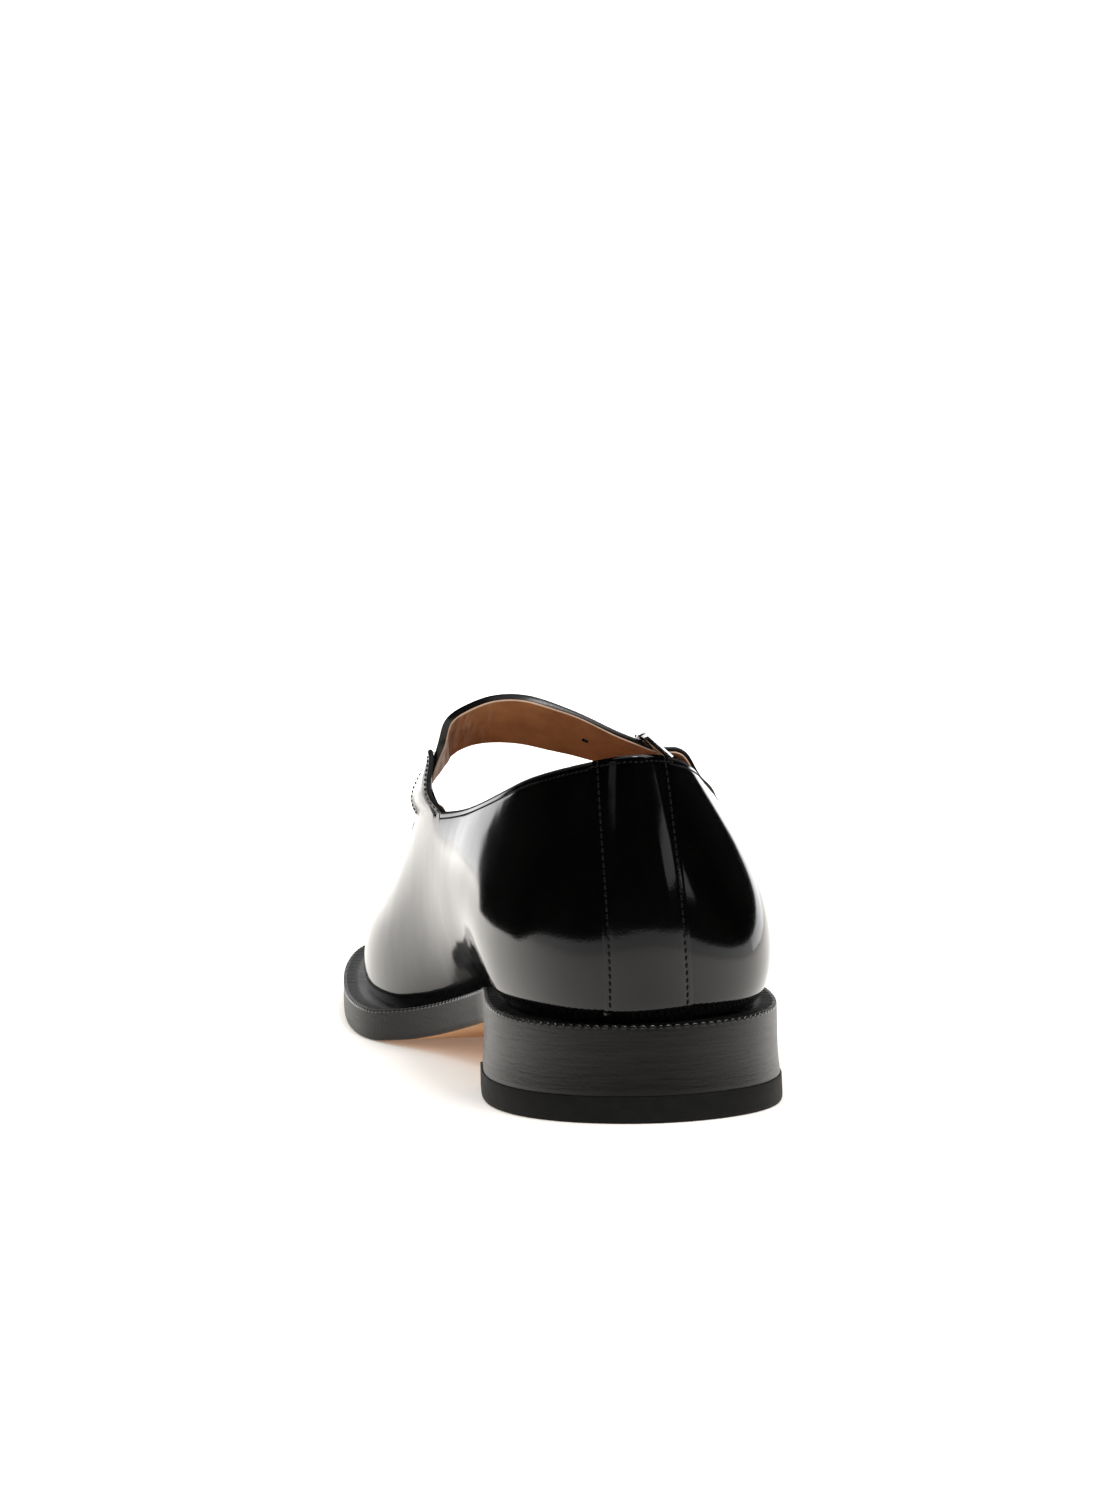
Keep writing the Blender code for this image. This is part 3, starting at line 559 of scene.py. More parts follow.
def beside_ear(ear, w, offset, inset):
    """Rear and front points of a strip that lies along an ear, off its outer or inner face."""
    side, rear_full, front_full = ear[1], ear[3], ear[4]
    places = [place_on_topline(side, y) for y in (rear_full + inset, front_full - inset)]
    points = upper_points(places, [w])[:, 0]
    normals = wall_normals(places, [w])[:, 0]
    if offset < 0.0:
        offset = offset - wall_thickness(places, [w])[:, 0]
    return points + normals * offset


def swept(points, closed):
    """Faces of a skin through closed profile loops; an open path gets an end face at each end."""
    columns, rows = points.shape[:2]
    faces = []
    for i in range(columns if closed else columns - 1):
        n = (i + 1) % columns
        for j in range(rows):
            k = (j + 1) % rows
            faces.append((i * rows + j, i * rows + k, n * rows + k, n * rows + j))
    if not closed:
        faces.append(tuple(range(rows)))
        faces.append(tuple(range((columns - 1) * rows, columns * rows)))
    return points.reshape(-1, 3), faces


def new_mesh(name, solid):
    """A mesh in metres from points and faces, with its faces turned outwards."""
    points, faces = solid
    mesh = bpy.data.meshes.new(name)
    mesh.from_pydata(((points + SHIFT) * MM).tolist(), [], faces)
    work = bmesh.new()
    work.from_mesh(mesh)
    bmesh.ops.recalc_face_normals(work, faces=work.faces[:])
    work.to_mesh(mesh)
    work.free()
    return mesh


def add_piece(name, solid, materials, slot, node=None, sharp=SHARP_EDGE, marked=()):
    """A smooth-shaded piece of the shoe; marked holds a face list for each further material."""
    mesh = new_mesh(name, solid)
    for material in materials:
        mesh.materials.append(material)
    for number, indices in enumerate(marked):
        for index in indices:
            mesh.polygons[index].material_index = number + 1
    mesh.polygons.foreach_set("use_smooth", [True] * len(mesh.polygons))
    mesh.set_sharp_from_angle(angle=math.radians(sharp))
    obj = bpy.data.objects.new(name, mesh)
    bpy.context.scene.collection.objects.link(obj)
    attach(obj, "root")
    if node is not None:
        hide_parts(node)
    return obj


def swells(points):
    """How far soft swells and a faint unevenness lift the leather at each point."""
    lift = np.zeros(points.shape[:-1])
    for _, x, y, z, radius, height in LEATHER_SWELLS:
        away = np.linalg.norm(points - np.array((x, y, z)), axis=-1)
        lift += height * np.exp(-((away / radius) ** 2))
    flat = points.reshape(-1, 3)
    rough = [noise.noise(Vector(p * 0.055)) + 0.35 * noise.noise(Vector(p * 0.16)) for p in flat]
    return lift + UNEVENNESS * np.array(rough).reshape(lift.shape)


def foot_tuck(points, from_foot):
    """How far the leather is drawn in towards the welt, more at the heel than at the forefoot."""
    fore = smooth((points[..., 1] - FOREFOOT_Y[0]) / (FOREFOOT_Y[1] - FOREFOOT_Y[0]))
    deep = FOOT_TUCK[0] + (FOOT_TUCK[1] - FOOT_TUCK[0]) * fore
    tall = FOOT_TUCK_HEIGHT[0] + (FOOT_TUCK_HEIGHT[1] - FOOT_TUCK_HEIGHT[0]) * fore
    return deep * np.maximum(1.0 - from_foot / tall, 0.0) ** 2


UPPER_LOW_ROWS = np.linspace(0.0, 1.0, 50) ** 1.15
EDGE_STEPS = (5.2, 4.2, 3.4, 2.8, 2.4, 2.1, 1.75, 1.4, 1.1, 0.8)
ROLL_ANGLES = np.radians((0.0, 22.5, 45.0, 67.5, 90.0))


def wall_layer(t, shares, cap, roll, sunk, low, detail):
    """One layer of the upper's wall, as a closed profile at each place round the foot.

    Shares give the layer's outer and inner face as parts of the wall; cap is the w where the
    layer ends, sunk how far its edge lies below that. Detail adds the stitch groove and swells.
    """
    rows, extra, lifts, inner = [], [], [], []
    edge = below_edge(t, max(EDGE_STEPS) + sunk + 0.8, cap)

    def add(w, deeper=0.0, lift=0.0, inside=False):
        rows.append(w)
        extra.append(deeper)
        lifts.append(lift)
        inner.append(inside)

    for share in UPPER_LOW_ROWS if detail else UPPER_LOW_ROWS[::2]:
        add(low + (edge - low) * share, lift=1.0)
    for below in EDGE_STEPS:
        groove = STITCH_GROOVE * math.exp(-(((below - STITCH_BELOW_EDGE) / 0.4) ** 2))
        add(below_edge(t, below + sunk, cap), groove if detail else 0.0, min(1.0, below / 3.4))
    for angle in ROLL_ANGLES:
        place = below_edge(t, sunk + roll * (1.0 - math.sin(angle)), cap)
        add(place, roll * (1.0 - math.cos(angle)))
    add(below_edge(t, sunk + 0.05, cap), -0.12, inside=True)
    add(below_edge(t, sunk + 0.3, cap), inside=True)
    for share in np.linspace(1.0, 0.0, 26):
        add(low + (edge - low) * share, inside=True)
    w = np.column_stack(rows)
    points = upper_points(t, w)
    from_foot = w * np.linalg.norm(upper_points(t, [0.02]) - upper_points(t, [0.0]), axis=2) / 0.02
    part = np.where(np.array(inner)[None, :], shares[1](w), shares[0](w))[:, :, None]
    depth = part * wall_thickness(t, w) + np.array(extra)[None, :, None]
    if detail:
        lift = swells(points) - foot_tuck(points, from_foot)
        depth = depth - (lift * np.array(lifts)[None, :])[:, :, None]
    return points - wall_normals(t, w) * depth


def ordered_boundary(plan):
    """Boundary corners of a flat mesh in order, as indices."""
    after = {}
    for edge in plan.edges:
        if edge.is_boundary:
            loop = edge.link_loops[0]
            after[loop.vert.index] = loop.link_loop_next.vert.index
    start = next(iter(after))
    order = [start]
    while after[order[-1]] != start:
        order.append(after[order[-1]])
    return order


def rounded_plate(loop, underside, topside, rows, front=None, wheel=None):
    """A plate that can bend along the foot, with a shaped edge.

    Each edge row gives its inset, its share of the height, a height added to that, and how
    deep the wheel marks are there. Returns points, faces and the faces of the underside.
    """
    plan = bmesh.new()
    plan.faces.new([plan.verts.new((x, y, 0.0)) for x, y in loop])
    if front is not None:
        everything = plan.verts[:] + plan.edges[:] + plan.faces[:]
        bmesh.ops.bisect_plane(
            plan, geom=everything, plane_co=(0, front, 0), plane_no=(0, 1, 0), clear_outer=True
        )
    for y in np.arange(STATION_STEP, loop[:, 1].max(), STATION_STEP):
        everything = plan.verts[:] + plan.edges[:] + plan.faces[:]
        bmesh.ops.bisect_plane(plan, geom=everything, plane_co=(0, y, 0), plane_no=(0, 1, 0))
    bmesh.ops.triangulate(plan, faces=plan.faces[:])
    bmesh.ops.recalc_face_normals(plan, faces=plan.faces[:])
    plan.verts.index_update()
    flat = np.array([vert.co[0:2] for vert in plan.verts])
    triangles = [[vert.index for vert in face.verts] for face in plan.faces]
    border = ordered_boundary(plan)
    plan.free()
    edge = flat[border]
    heading = unit(np.roll(edge, -1, axis=0) - np.roll(edge, 1, axis=0))
    inward = np.column_stack((-heading[:, 1], heading[:, 0]))
    if np.sum(edge[:, 0] * np.roll(edge[:, 1], -1) - np.roll(edge[:, 0], -1) * edge[:, 1]) < 0.0:
        inward = -inward
    walked = walked_along(edge, True)[:-1]
    marks = np.zeros(len(edge)) if wheel is None else wheel(walked)
    place = {corner: number for number, corner in enumerate(border)}
    inner = [k for k in range(len(flat)) if k not in place]
    inner_place = {corner: number for number, corner in enumerate(inner)}
    points = []
    for inset, share, more, marked in rows:
        inset = inset(edge[:, 1]) if callable(inset) else inset
        spot = edge + inward * (np.zeros(len(edge)) + inset)[:, None]
        low, high = underside(edge[:, 1]), topside(edge[:, 1])
        points.append(np.column_stack((spot, low + (high - low) * share + more - marks * marked)))
    around = len(border)
    bottom_start = around * len(rows)
    top_start = bottom_start + len(inner)
    points.append(np.column_stack((flat[inner], underside(flat[inner][:, 1]))))
    points.append(np.column_stack((flat[inner], topside(flat[inner][:, 1]))))
    faces, undersides = [], []
    for corners in triangles:
        low = [place[k] if k in place else bottom_start + inner_place[k] for k in corners]
        lid = around * (len(rows) - 1)
        high = [lid + place[k] if k in place else top_start + inner_place[k] for k in corners]
        undersides.append(len(faces))
        faces.append(tuple(low))
        faces.append(tuple(reversed(high)))
    for level in range(len(rows) - 1):
        for i in range(around):
            n = (i + 1) % around
            a, b = level * around, (level + 1) * around
            faces.append((a + i, a + n, b + n, b + i))
    return np.concatenate(points), faces, undersides


def band_frame(pairs, stations):
    """Places and directions along a strip, from pairs of points on its rear and front edge."""
    rows = np.array(pairs).reshape(-1, 6)
    spans = 0.5 * distances(rows[:, 0:3], False) + 0.5 * distances(rows[:, 3:6], False)
    curve = Curve(rows, spans, False)
    edges = curve(np.linspace(0.0, curve.length, stations))
    slopes = np.gradient(edges, axis=0)
    wide = edges[:, 3:6] - edges[:, 0:3]
    return edges, slopes, wide


def skive_share(walked, reach):
    """How far a strip is skived: fully up to the first length, then less over the second."""
    return smooth(1.0 - (walked - reach[0]) / reach[1])


def band_layer(guide, top, bottom, roll, tips=0.0, across=14, creases=(), skive=0.0):
    """A layer of a strip from depth top to depth bottom, with rolled upper edges.

    Tips rounds the far end. Skive is the share of thickness that both ends lose, the near end
    from its underside and the far end from its face; the part in the buckle loses half as much.
    """
    edges, slopes, wide = guide
    count = len(edges)
    width = np.linalg.norm(wide, axis=1)
    profile = [(0.0, roll), (0.29 * roll, 0.29 * roll), (roll, 0.0)]
    shares = np.linspace(0.0, 1.0, across)
    walked = walked_along(edges[:, 0:3] + wide * 0.5)
    to_end = walked[-1] - walked
    narrow = np.zeros(count)
    if tips > 0.0:
        past = 1.0 - np.minimum(to_end / tips, 1.0)
        narrow = tips * (1.0 - np.sqrt(np.clip(1.0 - past**2, 0.0, 1.0)))
    broad = width - 2.0 * narrow
    rows = []
    for x, depth in profile:
        rows.append((narrow + x, np.full(count, top + depth)))
    for share in shares[1:-1]:
        rows.append((narrow + roll + (broad - 2.0 * roll) * share, np.full(count, top)))
    for x, depth in reversed(profile):
        rows.append((width - narrow - x, np.full(count, top + depth)))
    dents = np.zeros(count)
    for _, share, deep, spread in creases:
        dents += deep * np.exp(-(((walked - share * walked[-1]) / spread) ** 2))
    for share in shares[::-1]:
        inside = 4.0 * share * (1.0 - share)
        rows.append((narrow + broad * share, bottom - dents * (0.35 + 0.65 * inside)))
    thinned = skive * skive_share(to_end, SKIVE_AT_TIP)
    slimmed = 1.0 - skive * skive_share(walked, SKIVE_AT_EAR)
    slimmed = slimmed - 0.5 * skive * skive_share(to_end, SKIVE_IN_BUCKLE)
    points = np.empty((count, len(rows), 3))
    for j, (x, depth) in enumerate(rows):
        depth = (depth + (STRAP_LINED - depth) * thinned) * slimmed
        share = (x / width)[:, None]
        along = slopes[:, 0:3] * (1.0 - share) + slopes[:, 3:6] * share
        normal = unit(np.cross(along, wide))
        points[:, j] = edges[:, 0:3] + wide * share - normal * depth[:, None]
    return points


def strap_base(rear_w, front_w):
    """Edges of the strap where it lies inside the inner ear."""
    rear = beside_ear(EARS[0], rear_w, -EAR_GAP, STRAP_BASE_INSET)[0]
    front = beside_ear(EARS[0], front_w, -EAR_GAP, STRAP_BASE_INSET)[1]
    return rear, front


def strap_guide(stations):
    """The strap from the inner ear over the instep and through the buckle to its tip."""
    pairs = [strap_base(rear_w, front_w) for rear_w, front_w in STRAP_BASE]
    pairs += [row[1:] for row in STRAP_ROWS]
    for _, along, rear_height, front_height, half in STRAP_IN_BUCKLE:
        rear = in_buckle(along, -half, rear_height)
        pairs.append((rear, in_buckle(along, half, front_height)))
    off = STRAP_GAP + STRAP_THICK
    pairs += [beside_ear(EARS[1], w, off, STRAP_TIP_INSET) for w in STRAP_TIP]
    return band_frame(pairs, stations)


def tab_guide(stations):
    """The buckle loop from inside the outer ear round the hinge bar."""
    middle = TAB_GAP + TAB_THICK / 2.0
    pairs = [beside_ear(EARS[1], w, -middle, TAB_INSET) for w in TAB_IN_EAR]
    reach = FRAME_BAR_RADIUS + TAB_ROUND_BAR + TAB_THICK / 2.0
    for turn in range(-90, -280, -30):
        angle = math.radians(turn)
        along = HINGE_ALONG + reach * math.cos(angle)
        height = -HINGE_DROP + reach * math.sin(angle)
        rear = in_buckle(along, -TAB_HALF_WIDTH, height)
        pairs.append((rear, in_buckle(along, TAB_HALF_WIDTH, height)))
    return band_frame(pairs, stations)


def bar(path, up, section, closed):
    """A bar along a path with the same section all along: section rows are (across, over)."""
    path = np.asarray(path, float)
    if closed:
        heading = np.roll(path, -1, axis=0) - np.roll(path, 1, axis=0)
    else:
        heading = np.gradient(path, axis=0)
    heading = unit(heading)
    across = unit(np.cross(heading, up))
    over = np.cross(across, heading)
    section = np.asarray(section, float)
    return path[:, None] + section[..., 0:1] * across[:, None] + section[..., 1:2] * over[:, None]


def circle(radius, sides):
    angles = np.radians(np.arange(0.0, 360.0, 360.0 / sides))
    return np.column_stack((radius * np.cos(angles), radius * np.sin(angles)))


def frame_path(steps):
    """Middle of the buckle frame's bar: a rounded flat ring, lower on its hinge side."""
    far, near = FRAME_MEDIAL_BAR, HINGE_ALONG
    corners = ((near, 1), (far, 1), (far, -1), (near, -1))
    ring = []
    for number, (along, side) in enumerate(corners):
        centre_along = along - math.copysign(FRAME_CORNER, along)
        centre_across = side * (FRAME_HALF_WIDTH - FRAME_CORNER)
        for angle in np.radians(90.0 * number + np.linspace(0.0, 90.0, 13)):
            u = centre_along + FRAME_CORNER * math.cos(angle)
            ring.append((u, centre_across + FRAME_CORNER * math.sin(angle)))
    ring = np.array(ring + ring[:1])
    walked = walked_along(ring)
    even = np.linspace(0.0, walked[-1], steps, endpoint=False)
    places = rows_at(even, walked, ring)
    tilt = (places[:, 0] - FRAME_MEDIAL_BAR) / (HINGE_ALONG - FRAME_MEDIAL_BAR)
    drops = -FRAME_DROP - (HINGE_DROP - FRAME_DROP) * tilt
    return np.array([in_buckle(u, w, drop) for (u, w), drop in zip(places, drops)])


def bevelled_section(inner, outer_low, outer_high, half_high, corner, steps):
    """A bar's section with a flat outer face that leans in towards the top."""
    rows = []
    widths = (outer_high, -inner, -inner, outer_low)
    heights = (half_high, half_high, -half_high, -half_high)
    for number, (width, height) in enumerate(zip(widths, heights)):
        x = width - math.copysign(corner, width)
        z = height - math.copysign(corner, height)
        for angle in np.radians(90.0 * number + np.linspace(0.0, 90.0, steps)):
            rows.append((x + corner * math.cos(angle), z + corner * math.sin(angle)))
    return np.array(rows)


def walk(points, normals, pitch, closed):
    """Even places along a path with their directions and normals."""
    path = np.concatenate((points, points[:1])) if closed else points
    over = np.concatenate((normals, normals[:1])) if closed else normals
    walked = walked_along(path)
    count = max(2, int(round(walked[-1] / pitch)))
    even = (np.arange(count) + 0.5) * walked[-1] / count
    heading = rows_at(even + 0.3, walked, path) - rows_at(even - 0.3, walked, path)
    return rows_at(even, walked, path), unit(heading), unit(rows_at(even, walked, over))


def stitch_row(points, normals, pitch, length, width, height, closed=False, slant=0.0):
    """Short thread beads along a path, their ends pulled into the leather."""
    at, along, lift = walk(points, normals, pitch, closed)
    across = unit(np.cross(lift, along))
    turned = along * math.cos(slant) + across * math.sin(slant)
    across = unit(np.cross(lift, turned))
    bead = []
    for u in np.linspace(-1.0, 1.0, 7):
        round_off = math.sqrt(max(1.0 - u * u, 0.04))
        for angle in np.radians(np.arange(0.0, 360.0, 60.0)):
            side = 0.5 * width * round_off * math.cos(angle)
            high = 0.5 * height * round_off * math.sin(angle) + 0.45 * height * (1.0 - 2.2 * u * u)
            bead.append((0.5 * length * u, side, high))
    bead = np.array(bead)
    points = at[:, None] + bead[None, :, 0:1] * turned[:, None]
    points = points + bead[None, :, 1:2] * across[:, None] + bead[None, :, 2:3] * lift[:, None]
    faces = []
    for number in range(len(at)):
        base = number * len(bead)
        for ring in range(6):
            for j in range(6):
                k = (j + 1) % 6
                a, b = base + ring * 6, base + (ring + 1) * 6
                faces.append((a + j, a + k, b + k, b + j))
        faces.append(tuple(base + j for j in range(6)))
        faces.append(tuple(base + 36 + j for j in range(6)))
    return points.reshape(-1, 3), faces


def joined(solids):
    """Several point and face lists as one."""
    points, faces, base = [], [], 0
    for some, corners in solids:
        points.append(some)
        faces += [tuple(base + k for k in face) for face in corners]
        base += len(some)
    return np.concatenate(points), faces


def snapped(obj, guide):
    """The nearest places on a piece to guide points, with the normals there."""
    depsgraph = bpy.context.evaluated_depsgraph_get()
    tree = BVHTree.FromObject(obj, depsgraph)
    places, normals = [], []
    for point in (guide + SHIFT) * MM:
        place, normal, _, _ = tree.find_nearest(Vector(point))
        places.append(np.array(place) / MM - SHIFT)
        normals.append(np.array(normal))
    return np.array(places), np.array(normals)


def node(tree, kind, **values):
    """A new node with its sockets and settings filled in."""
    made = tree.nodes.new(kind)
    for key, value in values.items():
        if key in made.inputs:
            made.inputs[key].default_value = value
        else:
            setattr(made, key, value)
    return made


def shader_of(name, colour, roughness, **sockets):
    """A new material with its uniform values set on the shader's own sockets."""
    material = bpy.data.materials.new(name)
    material.use_nodes = True
    shader = material.node_tree.nodes["Principled BSDF"]
    shader.inputs["Base Color"].default_value = (*colour, 1.0)
    shader.inputs["Roughness"].default_value = roughness
    for key, value in sockets.items():
        shader.inputs[key.replace("_", " ")].default_value = value
    return material, material.node_tree, shader


def place_node(tree, stretch=(1.0, 1.0, 1.0)):
    coordinates = node(tree, "ShaderNodeTexCoord")
    mapping = node(tree, "ShaderNodeMapping")
    mapping.inputs["Scale"].default_value = stretch
    tree.links.new(coordinates.outputs["Object"], mapping.inputs["Vector"])
    return mapping.outputs["Vector"]


def noise_node(tree, vector, scale, detail=2.0, roughness=0.5):
    made = node(tree, "ShaderNodeTexNoise", Scale=scale, Detail=detail, Roughness=roughness)
    tree.links.new(vector, made.inputs["Vector"])
    return made.outputs["Fac"]


def ramp_node(tree, value, low, high, start, end):
    """Two colours or greys between two values of a texture."""
    made = node(tree, "ShaderNodeValToRGB")
    made.color_ramp.elements[0].position = start
    made.color_ramp.elements[0].color = (*low, 1.0)
    made.color_ramp.elements[1].position = end
    made.color_ramp.elements[1].color = (*high, 1.0)
    tree.links.new(value, made.inputs["Fac"])
    return made.outputs["Color"]


def range_node(tree, value, low, high, start=0.0, end=1.0, ease="LINEAR"):
    """A value carried over from the range start to end into the range low to high."""
    made = node(tree, "ShaderNodeMapRange", interpolation_type=ease)
    for key, number in (("From Min", start), ("From Max", end), ("To Min", low), ("To Max", high)):
        made.inputs[key].default_value = number
    tree.links.new(value, made.inputs["Value"])
    return made.outputs["Result"]


def axis_node(tree, axis):
    """One coordinate of the place on the piece, in metres."""
    parts = node(tree, "ShaderNodeSeparateXYZ")
    tree.links.new(place_node(tree), parts.inputs["Vector"])
    return parts.outputs[axis]


def pores_node(tree, place, scale):
    made = node(tree, "ShaderNodeTexVoronoi", Scale=scale)
    tree.links.new(place, made.inputs["Vector"])
    return made.outputs["Distance"]


def bump_node(tree, value, strength, distance, after=None):
    made = node(tree, "ShaderNodeBump", Strength=strength, Distance=distance)
    tree.links.new(value, made.inputs["Height"])
    if after is not None:
        tree.links.new(after, made.inputs["Normal"])
    return made.outputs["Normal"]


def mottle(tree, shader, texture, tones, limits, roughness, spread):
    """Lets a texture carry the colour from tone to tone and the roughness about its middle."""
    tree.links.new(ramp_node(tree, texture, *tones, *limits), shader.inputs["Base Color"])
    matt = range_node(tree, texture, roughness - spread, roughness + spread)
    tree.links.new(matt, shader.inputs["Roughness"])


# The heel is polished higher than the forefoot; the change lies between these y, in metres
POLISH_CHANGE = (-0.070, -0.045)


def gloss_by_facing(tree, shader, straight, heel, forefoot):
    """Gloss that changes where the surface turns away from the eye, more so at the heel."""
    weight = node(tree, "ShaderNodeLayerWeight", Blend=0.5)
    level = range_node(tree, weight.outputs["Facing"], straight, heel)
    polish = range_node(tree, axis_node(tree, "Y"), heel, forefoot, *POLISH_CHANGE, "SMOOTHSTEP")
    tree.links.new(polish, level.node.inputs["To Max"])
    tree.links.new(level, shader.inputs["Specular IOR Level"])


def polished_leather(name, colour, roughness, grain, spread):
    """Black box leather: a smooth finish with fine pores under it and a faint waviness."""
    material, tree, shader = shader_of(name, colour, roughness)
    gloss_by_facing(tree, shader, 0.32, 0.95, 0.10)
    place = place_node(tree)
    tone = noise_node(tree, place, 90.0, 3.0)
    brighter = tuple(2.2 * part for part in colour)
    tree.links.new(ramp_node(tree, tone, colour, brighter, 0.35, 0.75), shader.inputs["Base Color"])
    cloud = noise_node(tree, place, 160.0, 4.0, 0.6)
    matt = range_node(tree, cloud, roughness - spread, roughness + spread)
    tree.links.new(matt, shader.inputs["Roughness"])
    first = bump_node(tree, pores_node(tree, place, 1500.0), grain, 0.00006)
    waves = noise_node(tree, place, 70.0, 2.0)
    tree.links.new(bump_node(tree, waves, 0.10, 0.0006, first), shader.inputs["Normal"])
    return material


def natural_leather(name, dark, light, roughness, grain):
    """Undyed tan leather: mottled colour, fine grain and soft scuffs."""
    material, tree, shader = shader_of(name, light, roughness, Specular_IOR_Level=0.35)
    place = place_node(tree)
    cloud = noise_node(tree, place, 120.0, 6.0, 0.62)
    mottle(tree, shader, cloud, (dark, light), (0.30, 0.72), roughness, 0.1)
    first = bump_node(tree, pores_node(tree, place, 1700.0), grain, 0.0001)
    fibres = noise_node(tree, place, 900.0, 4.0, 0.6)
    tree.links.new(bump_node(tree, fibres, grain, 0.0001, first), shader.inputs["Normal"])
    return material


def stretch_and_sheen_lining(name, dark, light, pale):
    """Strap lining: tan leather with pale streaks by the inner ear: stretch marks and painted crease
    highlights.
    """
    material = natural_leather(name, dark, light, 0.52, 0.35)
    tree = material.node_tree
    shader = tree.nodes["Principled BSDF"]
    tan = shader.inputs["Base Color"].links[0].from_socket
    # Pale streaks near the inner ear: partly stretch marks, partly painted highlights standing in for
    # the lining's creases
    streaks = noise_node(tree, place_node(tree, (1.0, 0.10, 0.16)), 800.0, 4.0, 0.65)
    near_ear = range_node(tree, axis_node(tree, "X"), 0.95, 0.0, -0.029, -0.016)
    share = node(tree, "ShaderNodeMath", operation="MULTIPLY")
    tree.links.new(ramp_node(tree, streaks, (0.0,) * 3, (1.0,) * 3, 0.42, 0.66), share.inputs[0])
    tree.links.new(near_ear, share.inputs[1])
    mix = node(tree, "ShaderNodeMix", data_type="RGBA")
    mix.inputs[7].default_value = (*pale, 1.0)
    tree.links.new(share.outputs["Value"], mix.inputs[0])
    tree.links.new(tan, mix.inputs[6])
    tree.links.new(mix.outputs[2], shader.inputs["Base Color"])
    return material


def stained_edge(name, colour, roughness, streak, gloss, crumble=0.10):
    """Stained and burnished edge of stacked leather, with faint level streaks."""
    material, tree, shader = shader_of(name, colour, roughness)
    gloss_by_facing(tree, shader, *gloss)
    level = place_node(tree, (0.06, 0.06, 1.0))
    lines = noise_node(tree, level, 1500.0, 4.0, 0.65)
    lighter = tuple(3.0 * part for part in colour)
    mottle(tree, shader, lines, (colour, lighter), (0.35, 0.80), roughness, 0.09)
    first = bump_node(tree, lines, streak, 0.00012)
    crumbs = noise_node(tree, place_node(tree), 1400.0, 3.0)
    tree.links.new(bump_node(tree, crumbs, crumble, 0.0002, first), shader.inputs["Normal"])
    return material


def matt_rubber(name):
    black, dusty = (0.0035, 0.0035, 0.0035), (0.0065, 0.0065, 0.006)
    material, tree, shader = shader_of(name, black, 0.62, Specular_IOR_Level=0.14)
    place = place_node(tree)
    dust = noise_node(tree, place, 420.0, 5.0, 0.6)
    mottle(tree, shader, dust, (black, dusty), (0.4, 0.75), 0.62, 0.10)
    grains = noise_node(tree, place, 2600.0, 3.0)
    tree.links.new(bump_node(tree, grains, 0.22, 0.0001), shader.inputs["Normal"])
    return material


def polished_metal(name):
    material, tree, shader = shader_of(name, (0.86, 0.86, 0.87), 0.09, Metallic=1.0)
    place = place_node(tree)
    haze = noise_node(tree, place, 700.0, 4.0)
    tree.links.new(range_node(tree, haze, 0.06, 0.15), shader.inputs["Roughness"])
    lines = noise_node(tree, place_node(tree, (1.0, 0.08, 1.0)), 4000.0, 2.0)
    tree.links.new(bump_node(tree, lines, 0.03, 0.00005), shader.inputs["Normal"])
    return material


def waxed_thread(name):
    material, tree, shader = shader_of(name, (0.003, 0.003, 0.003), 0.38, Specular_IOR_Level=0.08)
    twist = node(tree, "ShaderNodeTexWave", Scale=900.0, Distortion=1.5)
    twist.wave_type = "BANDS"
    twist.bands_direction = "DIAGONAL"
    tree.links.new(place_node(tree), twist.inputs["Vector"])
    tree.links.new(bump_node(tree, twist.outputs["Fac"], 0.5, 0.0001), shader.inputs["Normal"])
    return material


UPPER_BLACK = polished_leather("upper_black", (0.0007, 0.0007, 0.0007), 0.09, 0.05, 0.02)
STRAP_BLACK = polished_leather("strap_black", (0.0022, 0.0022, 0.0022), 0.24, 0.08, 0.04)
LINING_TONES = ((0.22, 0.085, 0.030), (0.37, 0.165, 0.062))
LINING_TAN = natural_leather("lining_tan", *LINING_TONES, 0.52, 0.35)
# Strap lining with pale streaks by the inner ear: stretch marks plus painted highlights for the crease
# shading
STRETCH_AND_SHEEN_TAN = stretch_and_sheen_lining("strap_lining_tan", *LINING_TONES, (0.46, 0.34, 0.26))
CUT_TAN = natural_leather("cut_tan", (0.30, 0.190, 0.125), (0.48, 0.340, 0.250), 0.60, 0.50)
SOCK_TAN = natural_leather("sock_tan", (0.30, 0.140, 0.070), (0.44, 0.230, 0.125), 0.50, 0.30)
SOLE_TAN = natural_leather("sole_tan", (0.60, 0.325, 0.150), (0.74, 0.450, 0.235), 0.42, 0.30)
EDGE_DYE = stained_edge("edge_dye", (0.0040, 0.0040, 0.0038), 0.45, 0.10, (0.15, 0.0, 0.0))
RIM_BLACK = stained_edge("welt_rim", (0.0040, 0.0038, 0.0036), 0.20, 0.05, (0.60, 0.80, 0.50))
EDGE_BLACK = stained_edge(
    "edge_black", (0.0035, 0.0033, 0.0031), 0.40, 0.80, (0.15, 1.0, 0.10), 0.30
)
WELT_BLACK = stained_edge(
    "welt_black", (0.0030, 0.0028, 0.0026), 0.45, 0.25, (0.25, 0.10, 0.50), 0.5
)
RUBBER = matt_rubber("top_piece_rubber")
METAL = polished_metal("buckle_metal")
THREAD = waxed_thread("black_thread")


